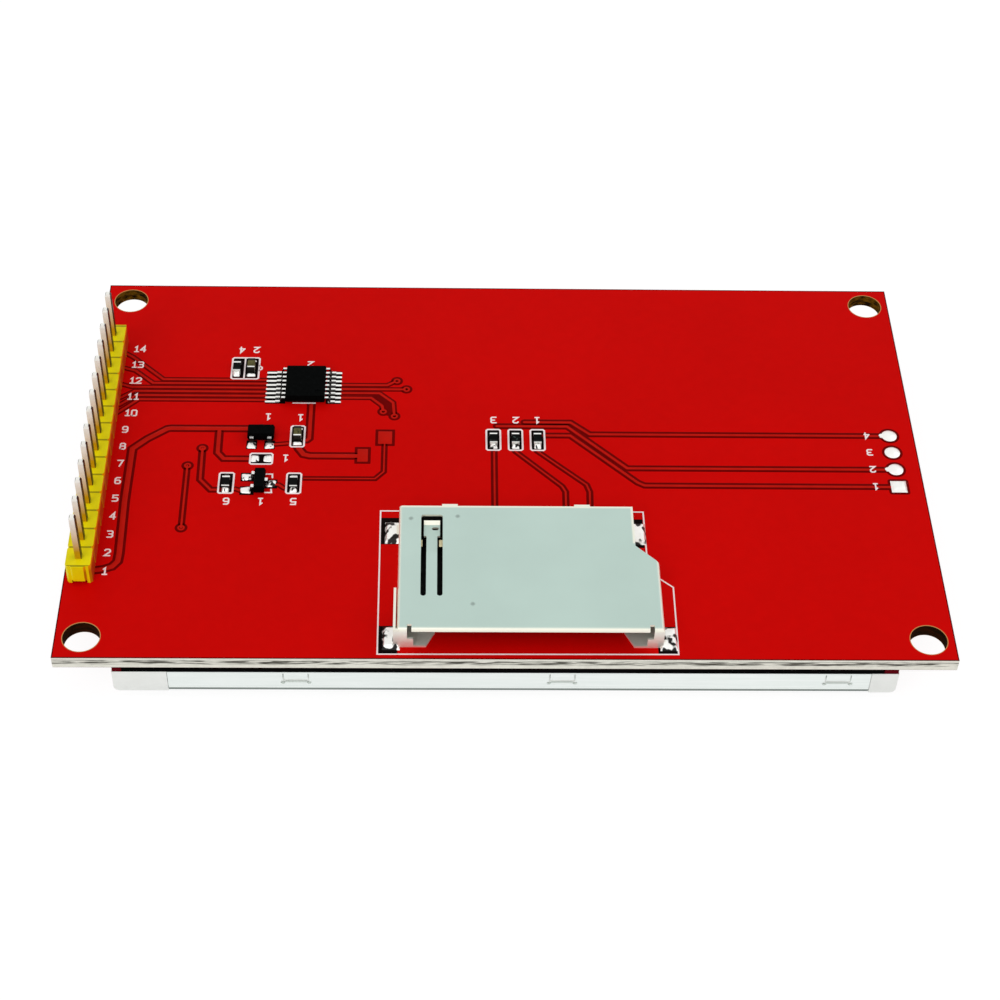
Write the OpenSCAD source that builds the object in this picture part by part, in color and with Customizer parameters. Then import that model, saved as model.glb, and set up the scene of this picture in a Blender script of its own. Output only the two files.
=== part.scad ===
// TFT display module, lying face down with its component side up.
// X runs along the board with the pin header at -X, Y points away from the card slot, Z is up.
// The origin is under the middle of the board, at the touch film's outer face.

/* [Display] */
// Length of the display, along the board
display_w = 78; // [70:0.1:90]
// Depth of the display, and of the board
display_d = 55.04; // [50:0.02:62]
// Sheet thickness of the stamped frame
frame_t = 0.2; // [0.15:0.05:0.3]
// Thickness of the foam tape between the display and the board
tape_t = 0.7; // [0.5:0.05:1]
// Width of each foam tape strip
tape_w = 7; // [4:0.5:9]
// Distance from the header end of the display to the foam tape
tape_start = 1; // [1:0.1:12]
// Distance from the foam tape to the far end of the display
tape_stop = 1.5; // [1:0.1:12]
// Distance from the long sides of the display to the foam tape
tape_inset = 0.05; // [0:0.05:3]
// Length of the moulding's corners that show at the header end
corner_head = 5.4; // [4:0.1:8]
// Length of the moulding's corners that show at the far end
corner_far = 2.7; // [2:0.1:3.2]
// Depth of the moulding's corners behind the frame's outer face
corner_d = 1.6; // [1.2:0.1:1.8]
// Height by which the moulding's corners stand out past the frame's rim
corner_drop = 0.2; // [0.1:0.05:0.4]
// Width of each latch, with its window
latch_w = 2.6; // [2:0.1:3.5]
// Height of each latch, from the back of the frame to its window's lower edge
latch_h = 1.55; // [1.1:0.1:1.8]
// Height of the window below each latch tongue
latch_open = 0.5; // [0.3:0.05:0.7]
// Width of the slits beside each latch tongue
latch_slit = 0.12; // [0.08:0.01:0.2]
// Diameter of the reliefs at each window's lower corners
latch_relief = 0.45; // [0.3:0.05:0.6]
// Places of the latches, from the middle of the long walls
latch_at = [-20.9, 5.5, 33]; // [-36:0.1:36]

/* [Display layers] */
// Thickness of each polariser
polariser_t = 0.15; // [0.1:0.05:0.25]
// Thickness of each glass of the liquid crystal cell
cell_glass_t = 0.4; // [0.3:0.05:0.6]
// Thickness of the tape ring that holds the cell on the backlight
rim_tape_t = 0.1; // [0.05:0.05:0.2]
// Thickness of each prism film, the diffuser and the reflector
film_t = 0.1; // [0.05:0.01:0.15]
// Thickness of the light guide
guide_t = 0.9; // [0.8:0.1:1.5]
// Width of the moulding's rails along the long sides
rail_w = 1.6; // [1.3:0.1:2]
// Width of the moulding's rails across the ends
end_rail_w = 1.8; // [1.5:0.1:2.5]
// Width of the moulding's ledge under the cell
ledge_w = 1.0; // [0.8:0.1:1.1]
// Length of the bare glass step that carries the driver chip
step_l = 3.6; // [3.2:0.1:5]
// Distance from the cell's edge to the polarisers
polariser_inset = 0.5; // [0.3:0.1:0.7]
// Length of the driver chip
driver_l = 17.8; // [12:0.1:22]
// Width of the driver chip
driver_w = 0.9; // [0.7:0.05:1.2]
// Height of the driver chip
driver_h = 0.3; // [0.2:0.05:0.35]
// Number of lamps along the light guide's end
lamp_count = 6; // [4:1:8]
// Length of each lamp
lamp_l = 3.8; // [2:0.1:4.5]
// Depth of each lamp
lamp_d = 0.9; // [0.6:0.1:1.2]
// Height of each lamp
lamp_h = 0.6; // [0.4:0.1:0.7]

/* [Touch panel] */
// Distance from the display's sides to the touch panel
touch_inset = 1.25; // [1.1:0.05:2]
// Thickness of the touch film
touch_film_t = 0.2; // [0.1:0.05:0.3]
// Thickness of the spacer ring between the film and the glass
touch_spacer_t = 0.1; // [0.1:0.02:0.2]
// Width of the spacer ring
touch_spacer_w = 2.6; // [1.6:0.1:3.5]
// Thickness of the touch glass
touch_glass_t = 0.8; // [0.5:0.05:1.2]
// Thickness of the tape ring that holds the touch glass
touch_tape_t = 0.15; // [0.1:0.05:0.3]
// Width of that tape ring
touch_tape_w = 2; // [1.8:0.1:2.2]

/* [Flexible circuits] */
// Thickness of the flexible circuits
flex_t = 0.1; // [0.08:0.01:0.12]
// Width of the display's flexible circuit
flex_w = 20; // [18:0.5:24]
// Straight run of that circuit past the display before it folds
flex_out = 0.9; // [0.8:0.05:1.1]
// Length of its leg that lies under the board
flex_leg = 11; // [8:0.5:14]
// Number of soldered contacts on that leg
flex_pads = 18; // [12:1:20]
// Spacing of those contacts
flex_pitch = 0.8; // [0.7:0.05:0.9]
// Length of the solder over each contact
flex_pad_l = 2.4; // [1.5:0.1:3]
// Length of the leg that is bonded to the cell's glass
bond_l = 1.5; // [1:0.1:1.8]
// Width of the touch panel's tail
touch_tail_w = 5; // [3:0.5:7]
// Distance of the touch panel's tail from the middle of the flexible circuit
touch_tail_y = -6; // [-7:0.5:7]
// Straight run of that tail where it is soldered to the flexible circuit
touch_foot_l = 0.7; // [0.5:0.05:0.75]
// Width of the lamp circuit's tail
lamp_tail_w = 4; // [3:0.5:6]
// Distance of the lamp circuit's tail from the middle of the flexible circuit
lamp_tail_y = 6; // [-7:0.5:7]
// Length of that tail where it is folded back over the frame
lamp_tail_l = 2; // [1.5:0.1:4]

/* [Circuit board] */
// Board left bare beyond each end of the display
end_margin = 5.65; // [5.6:0.05:9]
// Thickness of the board
board_t = 1.45; // [1:0.05:2.4]
// Diameter of the four mounting holes
hole_d = 3.7; // [2.6:0.1:3.8]
// Distance from the board's edges to the middle of each mounting hole
hole_inset = 2.65; // [2.5:0.05:3]

/* [Pin header] */
// Number of pins
pin_count = 14; // [10:1:16]
// Spacing of the pins
pin_pitch = 2.54; // [2.4:0.01:2.6]
// Width of each square pin
pin_w = 0.64; // [0.5:0.02:0.66]
// Length of the pins above the insulator
pin_above = 6; // [4:0.5:12]
// Length of the pins below the board
pin_below = 1.4; // [1.1:0.1:1.8]
// Length of the pins' pointed ends
pin_point = 0.3; // [0.2:0.1:0.8]
// Width of the header's insulator
insulator_w = 2.54; // [2:0.02:3]
// Height of the header's insulator
insulator_h = 2.54; // [1.5:0.02:4]
// Chamfer between the insulator's segments
insulator_notch = 0.22; // [0.1:0.02:0.6]
// Chamfer at the insulator's front end
insulator_chamfer = 0.7; // [0.3:0.05:0.8]
// Length of the insulator past its first and last segments
insulator_over = 0.2; // [0:0.05:0.4]
// Width of the channel under the insulator
channel_w = 1.5; // [1:0.1:1.7]
// Height of that channel
channel_h = 0.45; // [0.2:0.05:0.6]
// Distance from the board's edge to the row of pins
header_inset = 1.75; // [1.5:0.05:1.8]
// Diameter of the board's plated holes
plated_d = 1; // [0.95:0.01:1.2]
// Diameter of the soldered rings
ring_d = 1.7; // [1.5:0.05:1.9]

/* [Card header pads] */
// Number of pads for the card header
card_pads = 4; // [2:1:6]
// Distance from the board's far edge to those pads
card_pad_inset = 2.7; // [2:0.1:4]
// Height of the solder on those pads
card_pad_h = 0.3; // [0.2:0.05:0.5]

/* [Card socket] */
// Width of the socket's shell at its mouth
socket_w = 26.3; // [25.8:0.1:30]
// Depth of the shell
socket_d = 16.5; // [15.5:0.1:22]
// Height of the shell
socket_h = 2.8; // [2.7:0.05:3.6]
// Sheet thickness of the shell
shell_t = 0.25; // [0.2:0.01:0.3]
// Outer radius of the shell's folds
fold_r = 0.4; // [0.35:0.05:0.7]
// Distance from the header end of the board to the shell
socket_from_end = 33.75; // [30:0.25:45]
// Distance from the front edge of the board to the shell
socket_setback = 1.5; // [1:0.1:3]
// Width of the step at the shell's far back corner
step_w = 2.3; // [1.5:0.1:3]
// Length of the narrow part behind that step
narrow_l = 5.4; // [4.5:0.1:6]
// Width of the closed corners beside the mouth
cheek_w = 1; // [0.8:0.1:1.4]
// Reach of each closed corner's foot into the mouth
cheek_foot_w = 0.6; // [0.3:0.1:1]
// Height of each closed corner's foot
cheek_foot_h = 1.3; // [0.8:0.1:1.6]
// Height of the lip over the mouth
lip_h = 0.45; // [0.4:0.05:0.9]
// Width of the flanges that fold in under the mouth
flange_w = 3.5; // [2:0.1:5]
// Length of those flanges
flange_l = 5; // [3:0.1:8]
// Chamfer on their inner corners
flange_chamfer = 0.9; // [0.5:0.1:1.5]
// Length of the spring finger, from its root to its tip
finger_l = 10.75; // [8.5:0.05:10.8]
// Width of the spring finger
finger_w = 1.1; // [0.8:0.1:1.4]
// Width of the slots beside the finger
slot_w = 0.55; // [0.3:0.05:0.6]
// Distance from the shell's side to the middle of the finger
finger_x = 3.37; // [3:0.01:5]
// Distance from the mouth to the finger's root
finger_y = 4.3; // [4:0.1:5.2]
// Gap between the finger's tip and the window's far edge
finger_gap = 0.2; // [0.1:0.05:0.5]
// Size of the oval hole in the finger's head
finger_hole = [0.7, 0.4]; // [0.3:0.05:0.9]
// Distance from the start of the head to that hole
finger_hole_y = 1; // [0.6:0.1:1.2]
// Drop of the finger's end below the sheet
finger_drop = 0.8; // [0.5:0.05:0.9]
// Reach of the shell's solder tabs
tab_out = 1.2; // [0.8:0.1:1.6]
// Length of the shell's solder tabs
tab_l = 2.2; // [1.5:0.1:3]
// Distance from the back edge to the rear solder tabs
tab_back = 0.2; // [0.2:0.1:1]
// Width of the stop tabs at the back edge
stop_w = 1.6; // [1:0.1:2.5]
// Height of the stop tabs
stop_h = 1.2; // [0.8:0.1:1.8]
// Width of the reliefs at the lip's ends
relief_w = 0.45; // [0.15:0.05:0.6]
// Length of the reliefs at the lip's ends
relief_l = 0.6; // [0.5:0.05:2]
// Distance from the shell's back corners to the stop tabs
stop_in = 4.4; // [3:0.1:6]
// Length of the outer side arm
arm_l = 5.5; // [4:0.1:8]
// Height of the outer side arm
arm_h = 2.1; // [1:0.1:2.1]
// Height of the side arm above the board
arm_up = 0.5; // [0.3:0.1:0.7]
// Gap between the side arm and the shell's wall
arm_gap = 0.12; // [0.1:0.02:0.4]
// Spacing of the card contacts
contact_pitch = 2.5; // [2.3:0.05:2.6]
// Width of each card contact
contact_w = 0.8; // [0.6:0.05:1]
// Sheet thickness of the card contacts
contact_t = 0.15; // [0.12:0.01:0.2]
// Reach of a contact's arm in front of the insulator
contact_arm = 2.6; // [2.5:0.1:4.5]
// Height of a contact's arm at its crest
contact_rise = 1; // [0.7:0.05:1.4]
// Length of a contact's tail behind the shell
contact_tail = 1.3; // [0.9:0.1:1.6]
// Least distance from the insulator's ends to the middle of a contact
contact_margin = 1.3; // [1:0.1:2]
// Thickness of the insulator's back wall
socket_back_t = 1.2; // [0.8:0.1:1.6]
// Thickness of the insulator's floor
socket_floor_t = 0.45; // [0.4:0.05:0.5]
// Length of the insulator's floor
socket_floor_l = 3.6; // [3:0.1:4.5]
// Width of the insulator's rail along the shell's side
socket_rail_w = 4.3; // [2:0.1:6]
// Distance from the mouth to that rail
socket_rail_y = 5.3; // [5.2:0.1:9]

/* [Small components] */
// Distance from the header end of the board to the touch controller
chip_from_end = 23.15; // [21:0.05:26]
// Distance from the board's middle line to the touch controller
chip_y = 10.8; // [9.5:0.1:12]
// Width of the touch controller's body
chip_w = 4.4; // [4:0.1:4.6]
// Length of the touch controller's body
chip_l = 5; // [4.8:0.1:5.4]
// Height of the touch controller above the board
chip_h = 1.05; // [0.9:0.05:1.3]
// Number of leads on each side of the touch controller
chip_leads = 8; // [6:1:8]
// Spacing of those leads
chip_pitch = 0.65; // [0.6:0.01:0.66]
// Width of those leads
chip_lead_w = 0.24; // [0.2:0.01:0.3]
// Reach of those leads past the body
chip_lead_l = 1.05; // [0.9:0.05:1.2]
// Length of the small transistor outline
small_l = 2.9; // [2.6:0.1:3.1]
// Width of the regulator's body
regulator_w = 1.6; // [1.2:0.05:1.7]
// Width of the transistor's body
transistor_w = 1.2; // [1.1:0.05:1.5]
// Height of the small transistor outline above the board
small_h = 1.1; // [0.9:0.05:1.2]
// Reach of its leads past the body
small_lead_l = 0.6; // [0.5:0.05:0.7]
// Width of its leads
small_lead_w = 0.42; // [0.35:0.01:0.5]
// Spacing of the two leads on one side
small_pitch = 1.9; // [1.8:0.05:2]
// Sheet thickness of all leads
lead_t = 0.14; // [0.1:0.01:0.18]
// Length of the chip resistors and capacitors
passive_l = 1.6; // [1.4:0.1:1.8]
// Width of the chip resistors and capacitors
passive_w = 0.8; // [0.7:0.05:0.9]
// Height of the chip resistors
resistor_h = 0.45; // [0.35:0.05:0.6]
// Height of the chip capacitors
capacitor_h = 0.8; // [0.6:0.05:0.9]
// Length of their end caps
cap_l = 0.35; // [0.25:0.05:0.45]
// Height of the solder beside leads and end caps
solder_h = 0.22; // [0.15:0.01:0.3]

/* [Component places] */
// From the touch controller to the regulator
regulator_step = [-4.45, -7.6]; // [-12:0.05:12]
// From the regulator to the transistor
transistor_step = [0.25, -7.1]; // [-12:0.05:12]
// From the regulator to the jumper
jumper_step = [0.2, -3.4]; // [-12:0.05:12]
// From the regulator to its capacitor
regulator_capacitor_step = [3.9, 0]; // [-12:0.05:12]
// From the touch controller to its capacitor
chip_capacitor_step = [-6.15, 3]; // [-12:0.05:12]
// Spacing of that capacitor and the resistor beside it
pair_pitch = 1.6; // [1.4:0.05:2.5]
// Distance from the transistor to the resistor on each side of it
bias_step = 3.55; // [3.2:0.05:6]
// From the touch controller to the row of three resistors
row_step = [20.5, -7.95]; // [-30:0.05:30]
// Spacing of the three resistors
row_pitch = 2.37; // [1.6:0.01:4]
// Distance between the middles of the jumper's pads
jumper_pitch = 1.36; // [1.2:0.02:2]
// Size of the jumper's pads
jumper_pad = [0.9, 1.1]; // [0.6:0.05:1.3]

/* [Hidden] */
$fn = 48;
fit = 0.05;    // clearance between pieces that drop into each other
eps = 0.01;    // overrun of a cutting shape past the face that it opens

// Heights, from the touch film up to the pin tips
spacer_z = touch_film_t;
touch_glass_z = spacer_z + touch_spacer_t;
touch_tape_z = touch_glass_z + touch_glass_t;
front_z = touch_tape_z + touch_tape_t;
filter_z = front_z + polariser_t;
tft_z = filter_z + cell_glass_t;
rear_polariser_z = tft_z + cell_glass_t;
rim_tape_z = rear_polariser_z + polariser_t;
upper_prism_z = rim_tape_z + rim_tape_t;
lower_prism_z = upper_prism_z + film_t;
diffuser_z = lower_prism_z + film_t;
guide_z = diffuser_z + film_t;
reflector_z = guide_z + guide_t;
sheet_z = reflector_z + film_t;
back_z = sheet_z + frame_t;
board_z = back_z + tape_t;
top_z = board_z + board_t;

// Board outline, and the places that follow from it
board_w = display_w + 2 * end_margin;
board_d = display_d;
head_x = -board_w / 2;
front_y = -board_d / 2;
pin_x = head_x + header_inset;
card_pad_x = -head_x - card_pad_inset;
hole_pitch_x = board_w - 2 * hole_inset;
hole_pitch_y = board_d - 2 * hole_inset;

// Pockets of the moulding, as [low x, high x, half depth]
inner_x = display_w / 2 - frame_t - fit;
inner_y = display_d / 2 - frame_t - fit;
cell_x = inner_x - end_rail_w;
cell_y = inner_y - rail_w;
light_x = cell_x - ledge_w;
light_y = cell_y - ledge_w;
lamp_space = lamp_d + 2 * fit;

// Display flex: the level of its bonded leg, and its fold
flex_z = tft_z - flex_t;
flex_mid_x = -display_w / 2 - flex_out;
fold_mid_z = (flex_z + board_z) / 2;
fold_inner_r = (board_z - flex_z) / 2 - flex_t;
flex_end_x = -display_w / 2 + flex_leg;

// Card socket: its corner on the board, and its narrow back part
socket_x = head_x + socket_from_end;
socket_y = front_y + socket_setback;
narrow_w = socket_w - step_w;
step_y = socket_d - narrow_l;
insulator_y = socket_d - fit - socket_back_t;
cut = 1;          // how far a cutting shape runs past the body
insulator_l = narrow_w - 2 * (shell_t + fit);
contact_count = floor((insulator_l - 2 * contact_margin) / contact_pitch) + 1;

// Small parts, as [x, y] on the board
chip_at = [head_x + chip_from_end, chip_y];
regulator_at = chip_at + regulator_step;
transistor_at = regulator_at + transistor_step;
jumper_at = regulator_at + jumper_step;
capacitors_at = [chip_at + chip_capacitor_step, regulator_at + regulator_capacitor_step];
resistors_at = [capacitors_at[0] - [pair_pitch, 0],
                transistor_at - [bias_step, 0],
                transistor_at + [bias_step, 0],
                for (i = [0:2]) chip_at + row_step + [row_pitch * i, 0]];

// --- Shapes that repeat -------------------------------------------------------------------

// A block between two opposite corners
module block(low, high) {
    translate(low) cube(high - low);
}

// A flat ring, from a half size down to a smaller one
module flat_ring(outer, inner, t) {
    linear_extrude(t) difference() {
        square(2 * outer, center = true);
        square(2 * inner, center = true);
    }
}

// A sheet between two x values, centred in y
module sheet(x_low, x_high, half_y, z, t) {
    block([x_low, -half_y, z], [x_high, half_y, z + t]);
}

// Unit direction of a path's segment
function unit(v) = v / norm(v);
function segment(path, i) = unit(path[i + 1] - path[i]);
function left_of(v) = [-v[1], v[0]];
// Mitre vector at a path's point: it keeps a bent strip at one thickness
function mitre(path, i) =
    let (a = left_of(segment(path, max(i - 1, 0))),
         b = left_of(segment(path, min(i, len(path) - 2))),
         m = unit(a + b))
    m / (m * a);
// Outline of a strip of thickness t that lies to the left of its path
function strip_outline(path, t) =
    concat(path, [for (i = [len(path) - 1:-1:0]) path[i] + t * mitre(path, i)]);
// Points on an arc
function arc(mid, r, from, to, steps) =
    [for (i = [0:steps]) let (a = from + (to - from) * i / steps) mid + r * [cos(a), sin(a)]];
// Points on a smooth rise from one level to another
function rise(from, to, steps) =
    [for (i = [0:steps]) let (u = i / steps)
        [from[0] + (to[0] - from[0]) * u, from[1] + (to[1] - from[1]) * (1 - cos(180 * u)) / 2]];

// A strip bent in the XZ plane, and one bent in the YZ plane
module strip_xz(path, t, w) {
    rotate([90, 0, 0]) linear_extrude(w, center = true) polygon(strip_outline(path, t));
}
module strip_yz(path, t, w) {
    rotate([90, 0, 90]) linear_extrude(w, center = true) polygon(strip_outline(path, t));
}

// A heap of solder on a rectangle: two rounded profiles that cross
module heap(w, l, h) {
    intersection() {
        rotate([90, 0, 0]) linear_extrude(l, center = true) heap_profile(w, h);
        rotate([90, 0, 90]) linear_extrude(w, center = true) heap_profile(l, h);
    }
}
module heap_profile(w, h) {
    shoulder = w * 0.36;
    shoulder_h = h * 0.7;
    crown = w * 0.18;
    polygon([[-w / 2, 0], [w / 2, 0], [shoulder, shoulder_h],
             [crown, h], [-crown, h], [-shoulder, shoulder_h]]);
}

// --- Board and header ---------------------------------------------------------------------

module at_pins() {
    for (i = [0:pin_count - 1])
        translate([pin_x, (i - (pin_count - 1) / 2) * pin_pitch]) children();
}
function card_pad_at(i) = [card_pad_x, (i - (card_pads - 1) / 2) * pin_pitch];

module circuit_board() {
    color("red") translate([0, 0, board_z]) linear_extrude(board_t) difference() {
        square([board_w, board_d], center = true);
        for (x = [-1, 1], y = [-1, 1])
            translate([x * hole_pitch_x / 2, y * hole_pitch_y / 2]) circle(d = hole_d);
        at_pins() circle(d = plated_d);
        for (i = [0:card_pads - 1]) translate(card_pad_at(i)) circle(d = plated_d);
    }
}

// One eight-sided segment of the insulator
module insulator_segment() {
    a = insulator_w / 2;
    b = pin_pitch / 2;
    c = insulator_notch;
    polygon([[c - a, -b], [a - c, -b], [a, c - b], [a, b - c],
             [a - c, b], [c - a, b], [-a, b - c], [-a, c - b]]);
}

// Joined segments in plan: both ends run on a little, and the front end's corners are cut
module insulator_plan() {
    a = insulator_w / 2;
    c = insulator_chamfer;
    last = (pin_count - 1) * pin_pitch / 2;
    far = last + pin_pitch / 2 + insulator_over;
    at_pins() insulator_segment();
    translate([pin_x, 0]) {
        translate([-a, last]) square([insulator_w, far - last]);
        polygon([[-a, -last], [-a, c - far], [c - a, -far], [a - c, -far], [a, c - far], [a, -last]]);
    }
}

module header_insulator() {
    color("gold") translate([0, 0, top_z]) difference() {
        linear_extrude(insulator_h) difference() {
            insulator_plan();
            at_pins() square(pin_w, center = true);
        }
        translate([pin_x, 0, 0]) cube([channel_w, board_d, 2 * channel_h], center = true);
    }
}

// A square pin: two pointed profiles that cross
module pin() {
    low = board_z - pin_below;
    high = top_z + insulator_h + pin_above;
    a = pin_w / 2;
    b = pin_w * 0.3;
    profile = [[-a, low + pin_point], [-b, low], [b, low], [a, low + pin_point],
               [a, high - pin_point], [b, high], [-b, high], [-a, high - pin_point]];
    intersection() {
        rotate([90, 0, 0]) linear_extrude(pin_w, center = true) polygon(profile);
        rotate([90, 0, 90]) linear_extrude(pin_w, center = true) polygon(profile);
    }
}

module header_pins() {
    color("khaki") at_pins() pin();
}

// Solder that fills a plated hole and wets the pin below the board
module pin_joint() {
    r = ring_d / 2;
    waist = pin_w * 0.8;
    tip = board_z - pin_below * 0.75;
    difference() {
        rotate_extrude() polygon([[0, tip], [waist, tip], [waist * 1.05, board_z - pin_below * 0.4],
                                  [r * 0.8, board_z - 0.15], [r, board_z], [plated_d / 2, board_z],
                                  [plated_d / 2, top_z], [0, top_z]]);
        pin();
    }
}

module header_solder() {
    color("silver") at_pins() pin_joint();
}

// A plated hole filled with solder, domed on both faces
module filled_pad() {
    r = ring_d / 2;
    h = card_pad_h;
    dome_r = (r * r + h * h) / (2 * h);
    translate([0, 0, board_z]) cylinder(d = plated_d, h = board_t);
    intersection() {
        translate([0, 0, top_z + h - dome_r]) sphere(dome_r);
        translate([0, 0, top_z]) cylinder(r = r, h = h);
    }
    intersection() {
        translate([0, 0, board_z - h + dome_r]) sphere(dome_r);
        translate([0, 0, board_z - h]) cylinder(r = r, h = h);
    }
}

// The first pad is square
module filled_square_pad() {
    translate([0, 0, board_z]) cylinder(d = plated_d, h = board_t);
    translate([0, 0, top_z]) heap(ring_d, ring_d, card_pad_h);
    translate([0, 0, board_z]) mirror([0, 0, 1]) heap(ring_d, ring_d, card_pad_h);
}

module card_pad_solder() {
    color("silver") {
        translate(card_pad_at(0)) filled_square_pad();
        for (i = [1:card_pads - 1]) translate(card_pad_at(i)) filled_pad();
    }
}

// --- Card socket --------------------------------------------------------------------------

module at_socket() {
    translate([socket_x, socket_y, top_z]) children();
}

// Plan of the shell, drawn in by a margin and left open at the back when that is asked
module socket_plan(in, back) {
    k = in * tan(22.5);
    polygon([[in, in], [socket_w - in, in], [socket_w - in, step_y - step_w - k],
             [narrow_w - in, step_y - k], [narrow_w - in, back], [in, back]]);
}

// Rounded envelope of the shell, drawn in by a margin
module socket_envelope(in, back) {
    r = fold_r - in;
    intersection() {
        translate([0, 0, -eps]) linear_extrude(socket_h) socket_plan(in, back);
        // fold along both sides
        rotate([90, 0, 0]) translate([0, 0, -back]) linear_extrude(back) {
            translate([in, -eps]) square([socket_w - 2 * in, socket_h - fold_r + eps]);
            translate([fold_r, -eps]) square([socket_w - 2 * fold_r, socket_h - in + eps]);
            for (x = [fold_r, socket_w - fold_r]) translate([x, socket_h - fold_r]) circle(r);
        }
        // fold along the mouth
        rotate([90, 0, 90]) linear_extrude(socket_w) {
            translate([in, -eps]) square([back, socket_h - fold_r + eps]);
            translate([fold_r, -eps]) square([back, socket_h - in + eps]);
            translate([fold_r, socket_h - fold_r]) circle(r);
        }
    }
}

// Path of the finger's lower face: root, bend down to the neck, head and raised tip
bend_y = finger_y + finger_l * 0.53;
neck_y = finger_y + finger_l * 0.59;
head_y = finger_y + finger_l * 0.81;
tip_y = finger_y + finger_l * 0.96;
finger_z = socket_h - shell_t;
neck_z = finger_z - finger_drop;
finger_neck = [[finger_y - 0.2, finger_z], [bend_y, finger_z], [neck_y, neck_z], [head_y + 0.1, neck_z]];
finger_head = [[head_y, neck_z], [tip_y, neck_z], [finger_y + finger_l, finger_z - finger_drop * 0.55]];

module spring_finger() {
    difference() {
        union() {
            strip_yz(finger_neck, shell_t, finger_w);
            strip_yz(finger_head, shell_t, finger_w + slot_w);
        }
        translate([finger_hole[0] / 2, head_y + finger_hole_y, 0]) linear_extrude(socket_h)
            slot_plan(finger_hole[0], finger_hole[1]);
    }
}

// Oval of a given length along X and width along Y, round its middle
module slot_plan(l, w) {
    square([l - w, w], center = true);
    for (side = [-1, 1]) translate([side * (l - w) / 2, 0]) circle(d = w);
}

// Openings round the finger: two slots that run into a window with rounded far corners
module finger_window() {
    half = finger_w / 2 + slot_w;
    window_l = finger_y + finger_l + finger_gap - bend_y;
    for (side = [-1, 1]) translate([side * (finger_w + slot_w) / 2, 0]) {
        translate([0, finger_y + slot_w / 2]) circle(d = slot_w);
        translate([-slot_w / 2, finger_y + slot_w / 2]) square([slot_w, bend_y - finger_y]);
        translate([0, bend_y + window_l - slot_w / 2]) circle(d = slot_w);
    }
    translate([-half, bend_y]) square([2 * half, window_l - slot_w / 2]);
    translate([-finger_w / 2 - slot_w / 2, bend_y]) square([finger_w + slot_w, window_l]);
}

// Flange that folds in under the mouth, with its inner corner cut for the card
module mouth_flange() {
    c = flange_chamfer;
    linear_extrude(shell_t)
        polygon([[0, 0], [flange_w - c, 0], [flange_w, 2 * c], [flange_w, flange_l], [0, flange_l]]);
}

// Solder tabs, as [x, y] of their low corners
tabs_at = [[-tab_out, 0], [-tab_out, socket_d - tab_l - tab_back],
           [narrow_w, socket_d - tab_l - tab_back], [socket_w, 0]];

// Outer side arm, joined to the shell's corner at the mouth
module side_arm() {
    out = arm_gap + shell_t;
    translate([-out, 0, arm_up]) {
        cube([shell_t, arm_l, arm_h]);
        cube([out + shell_t, shell_t, arm_h]);
    }
}

module socket_shell() {
    foot_end = cheek_w + cheek_foot_w;
    color("lightsteelblue") at_socket() {
        difference() {
            socket_envelope(0, socket_d);
            socket_envelope(shell_t, socket_d + cut);
            // the space under the board's face
            translate([-cut, -cut, -cut]) cube([socket_w + 2 * cut, socket_d + 2 * cut, cut]);
            // mouth, below the lip and between the closed corners' feet
            block([cheek_w, -cut, cheek_foot_h], [socket_w - cheek_w, fold_r, socket_h - lip_h]);
            block([foot_end, -cut, -cut], [socket_w - foot_end, fold_r, socket_h - lip_h]);
            // reliefs at the lip's ends
            for (x = [cheek_w, socket_w - cheek_w - relief_w])
                translate([x, -cut, cheek_foot_h]) cube([relief_w, relief_l + cut, socket_h]);
            translate([finger_x, 0, socket_h - cut]) linear_extrude(2 * cut) finger_window();
        }
        translate([finger_x, 0, 0]) spring_finger();
        translate([shell_t, 0, 0]) mouth_flange();
        translate([socket_w - shell_t, 0, 0]) mirror([1, 0, 0]) mouth_flange();
        for (at = tabs_at) translate(at) cube([tab_out, tab_l, shell_t]);
        // stop tabs bent down at the back edge
        for (x = [stop_in, narrow_w - stop_in - stop_w])
            translate([x, socket_d - eps, socket_h - stop_h]) cube([stop_w, shell_t, stop_h]);
        side_arm();
    }
}

// Path of a contact's lower face: tail, root, rising arm and dipping tip
contact_path = [[socket_d + contact_tail, 0], [socket_d + 0.35, 0], [socket_d + 0.2, contact_t],
                [insulator_y - 0.5, contact_t], [insulator_y - contact_arm * 0.78, contact_rise],
                [insulator_y - contact_arm, contact_rise * 0.7]];

module at_contacts() {
    for (i = [0:contact_count - 1])
        translate([narrow_w / 2 + (i - (contact_count - 1) / 2) * contact_pitch, 0, 0]) children();
}
// the path runs towards the mouth, so the strip is turned to lie above it
module contact() {
    mirror([0, 1, 0]) strip_yz([for (p = contact_path) [-p[0], p[1]]], contact_t, contact_w);
}

module socket_contacts() {
    color("gold") at_socket() at_contacts() contact();
}

module socket_insulator() {
    low = shell_t + fit;
    high = narrow_w - shell_t - fit;
    color("dimgray") at_socket() difference() {
        intersection() {
            socket_envelope(shell_t + fit, socket_d - fit);
            union() {
                block([low, insulator_y, 0], [high, socket_d, socket_h]);
                block([low, insulator_y - socket_floor_l, 0], [high, insulator_y, socket_floor_t]);
                block([low, socket_rail_y, 0], [low + socket_rail_w, insulator_y, socket_floor_t]);
            }
        }
        at_contacts() contact();
        // thin the floor round each contact's arm
        at_contacts() block([-contact_w / 2 - 0.15, insulator_y - socket_floor_l - cut, contact_t],
                            [contact_w / 2 + 0.15, insulator_y, 1]);
    }
}

module socket_solder() {
    color("silver") at_socket() {
        for (at = tabs_at) difference() {
            translate(at + [tab_out / 2, tab_l / 2]) heap(tab_out + 0.6, tab_l + 0.8, 0.55);
            socket_shell_body();
        }
        at_contacts() difference() {
            translate([0, socket_d + contact_tail - 0.25, 0]) heap(contact_w + 0.3, contact_tail - 0.2, 0.3);
            contact();
        }
    }
}
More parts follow.
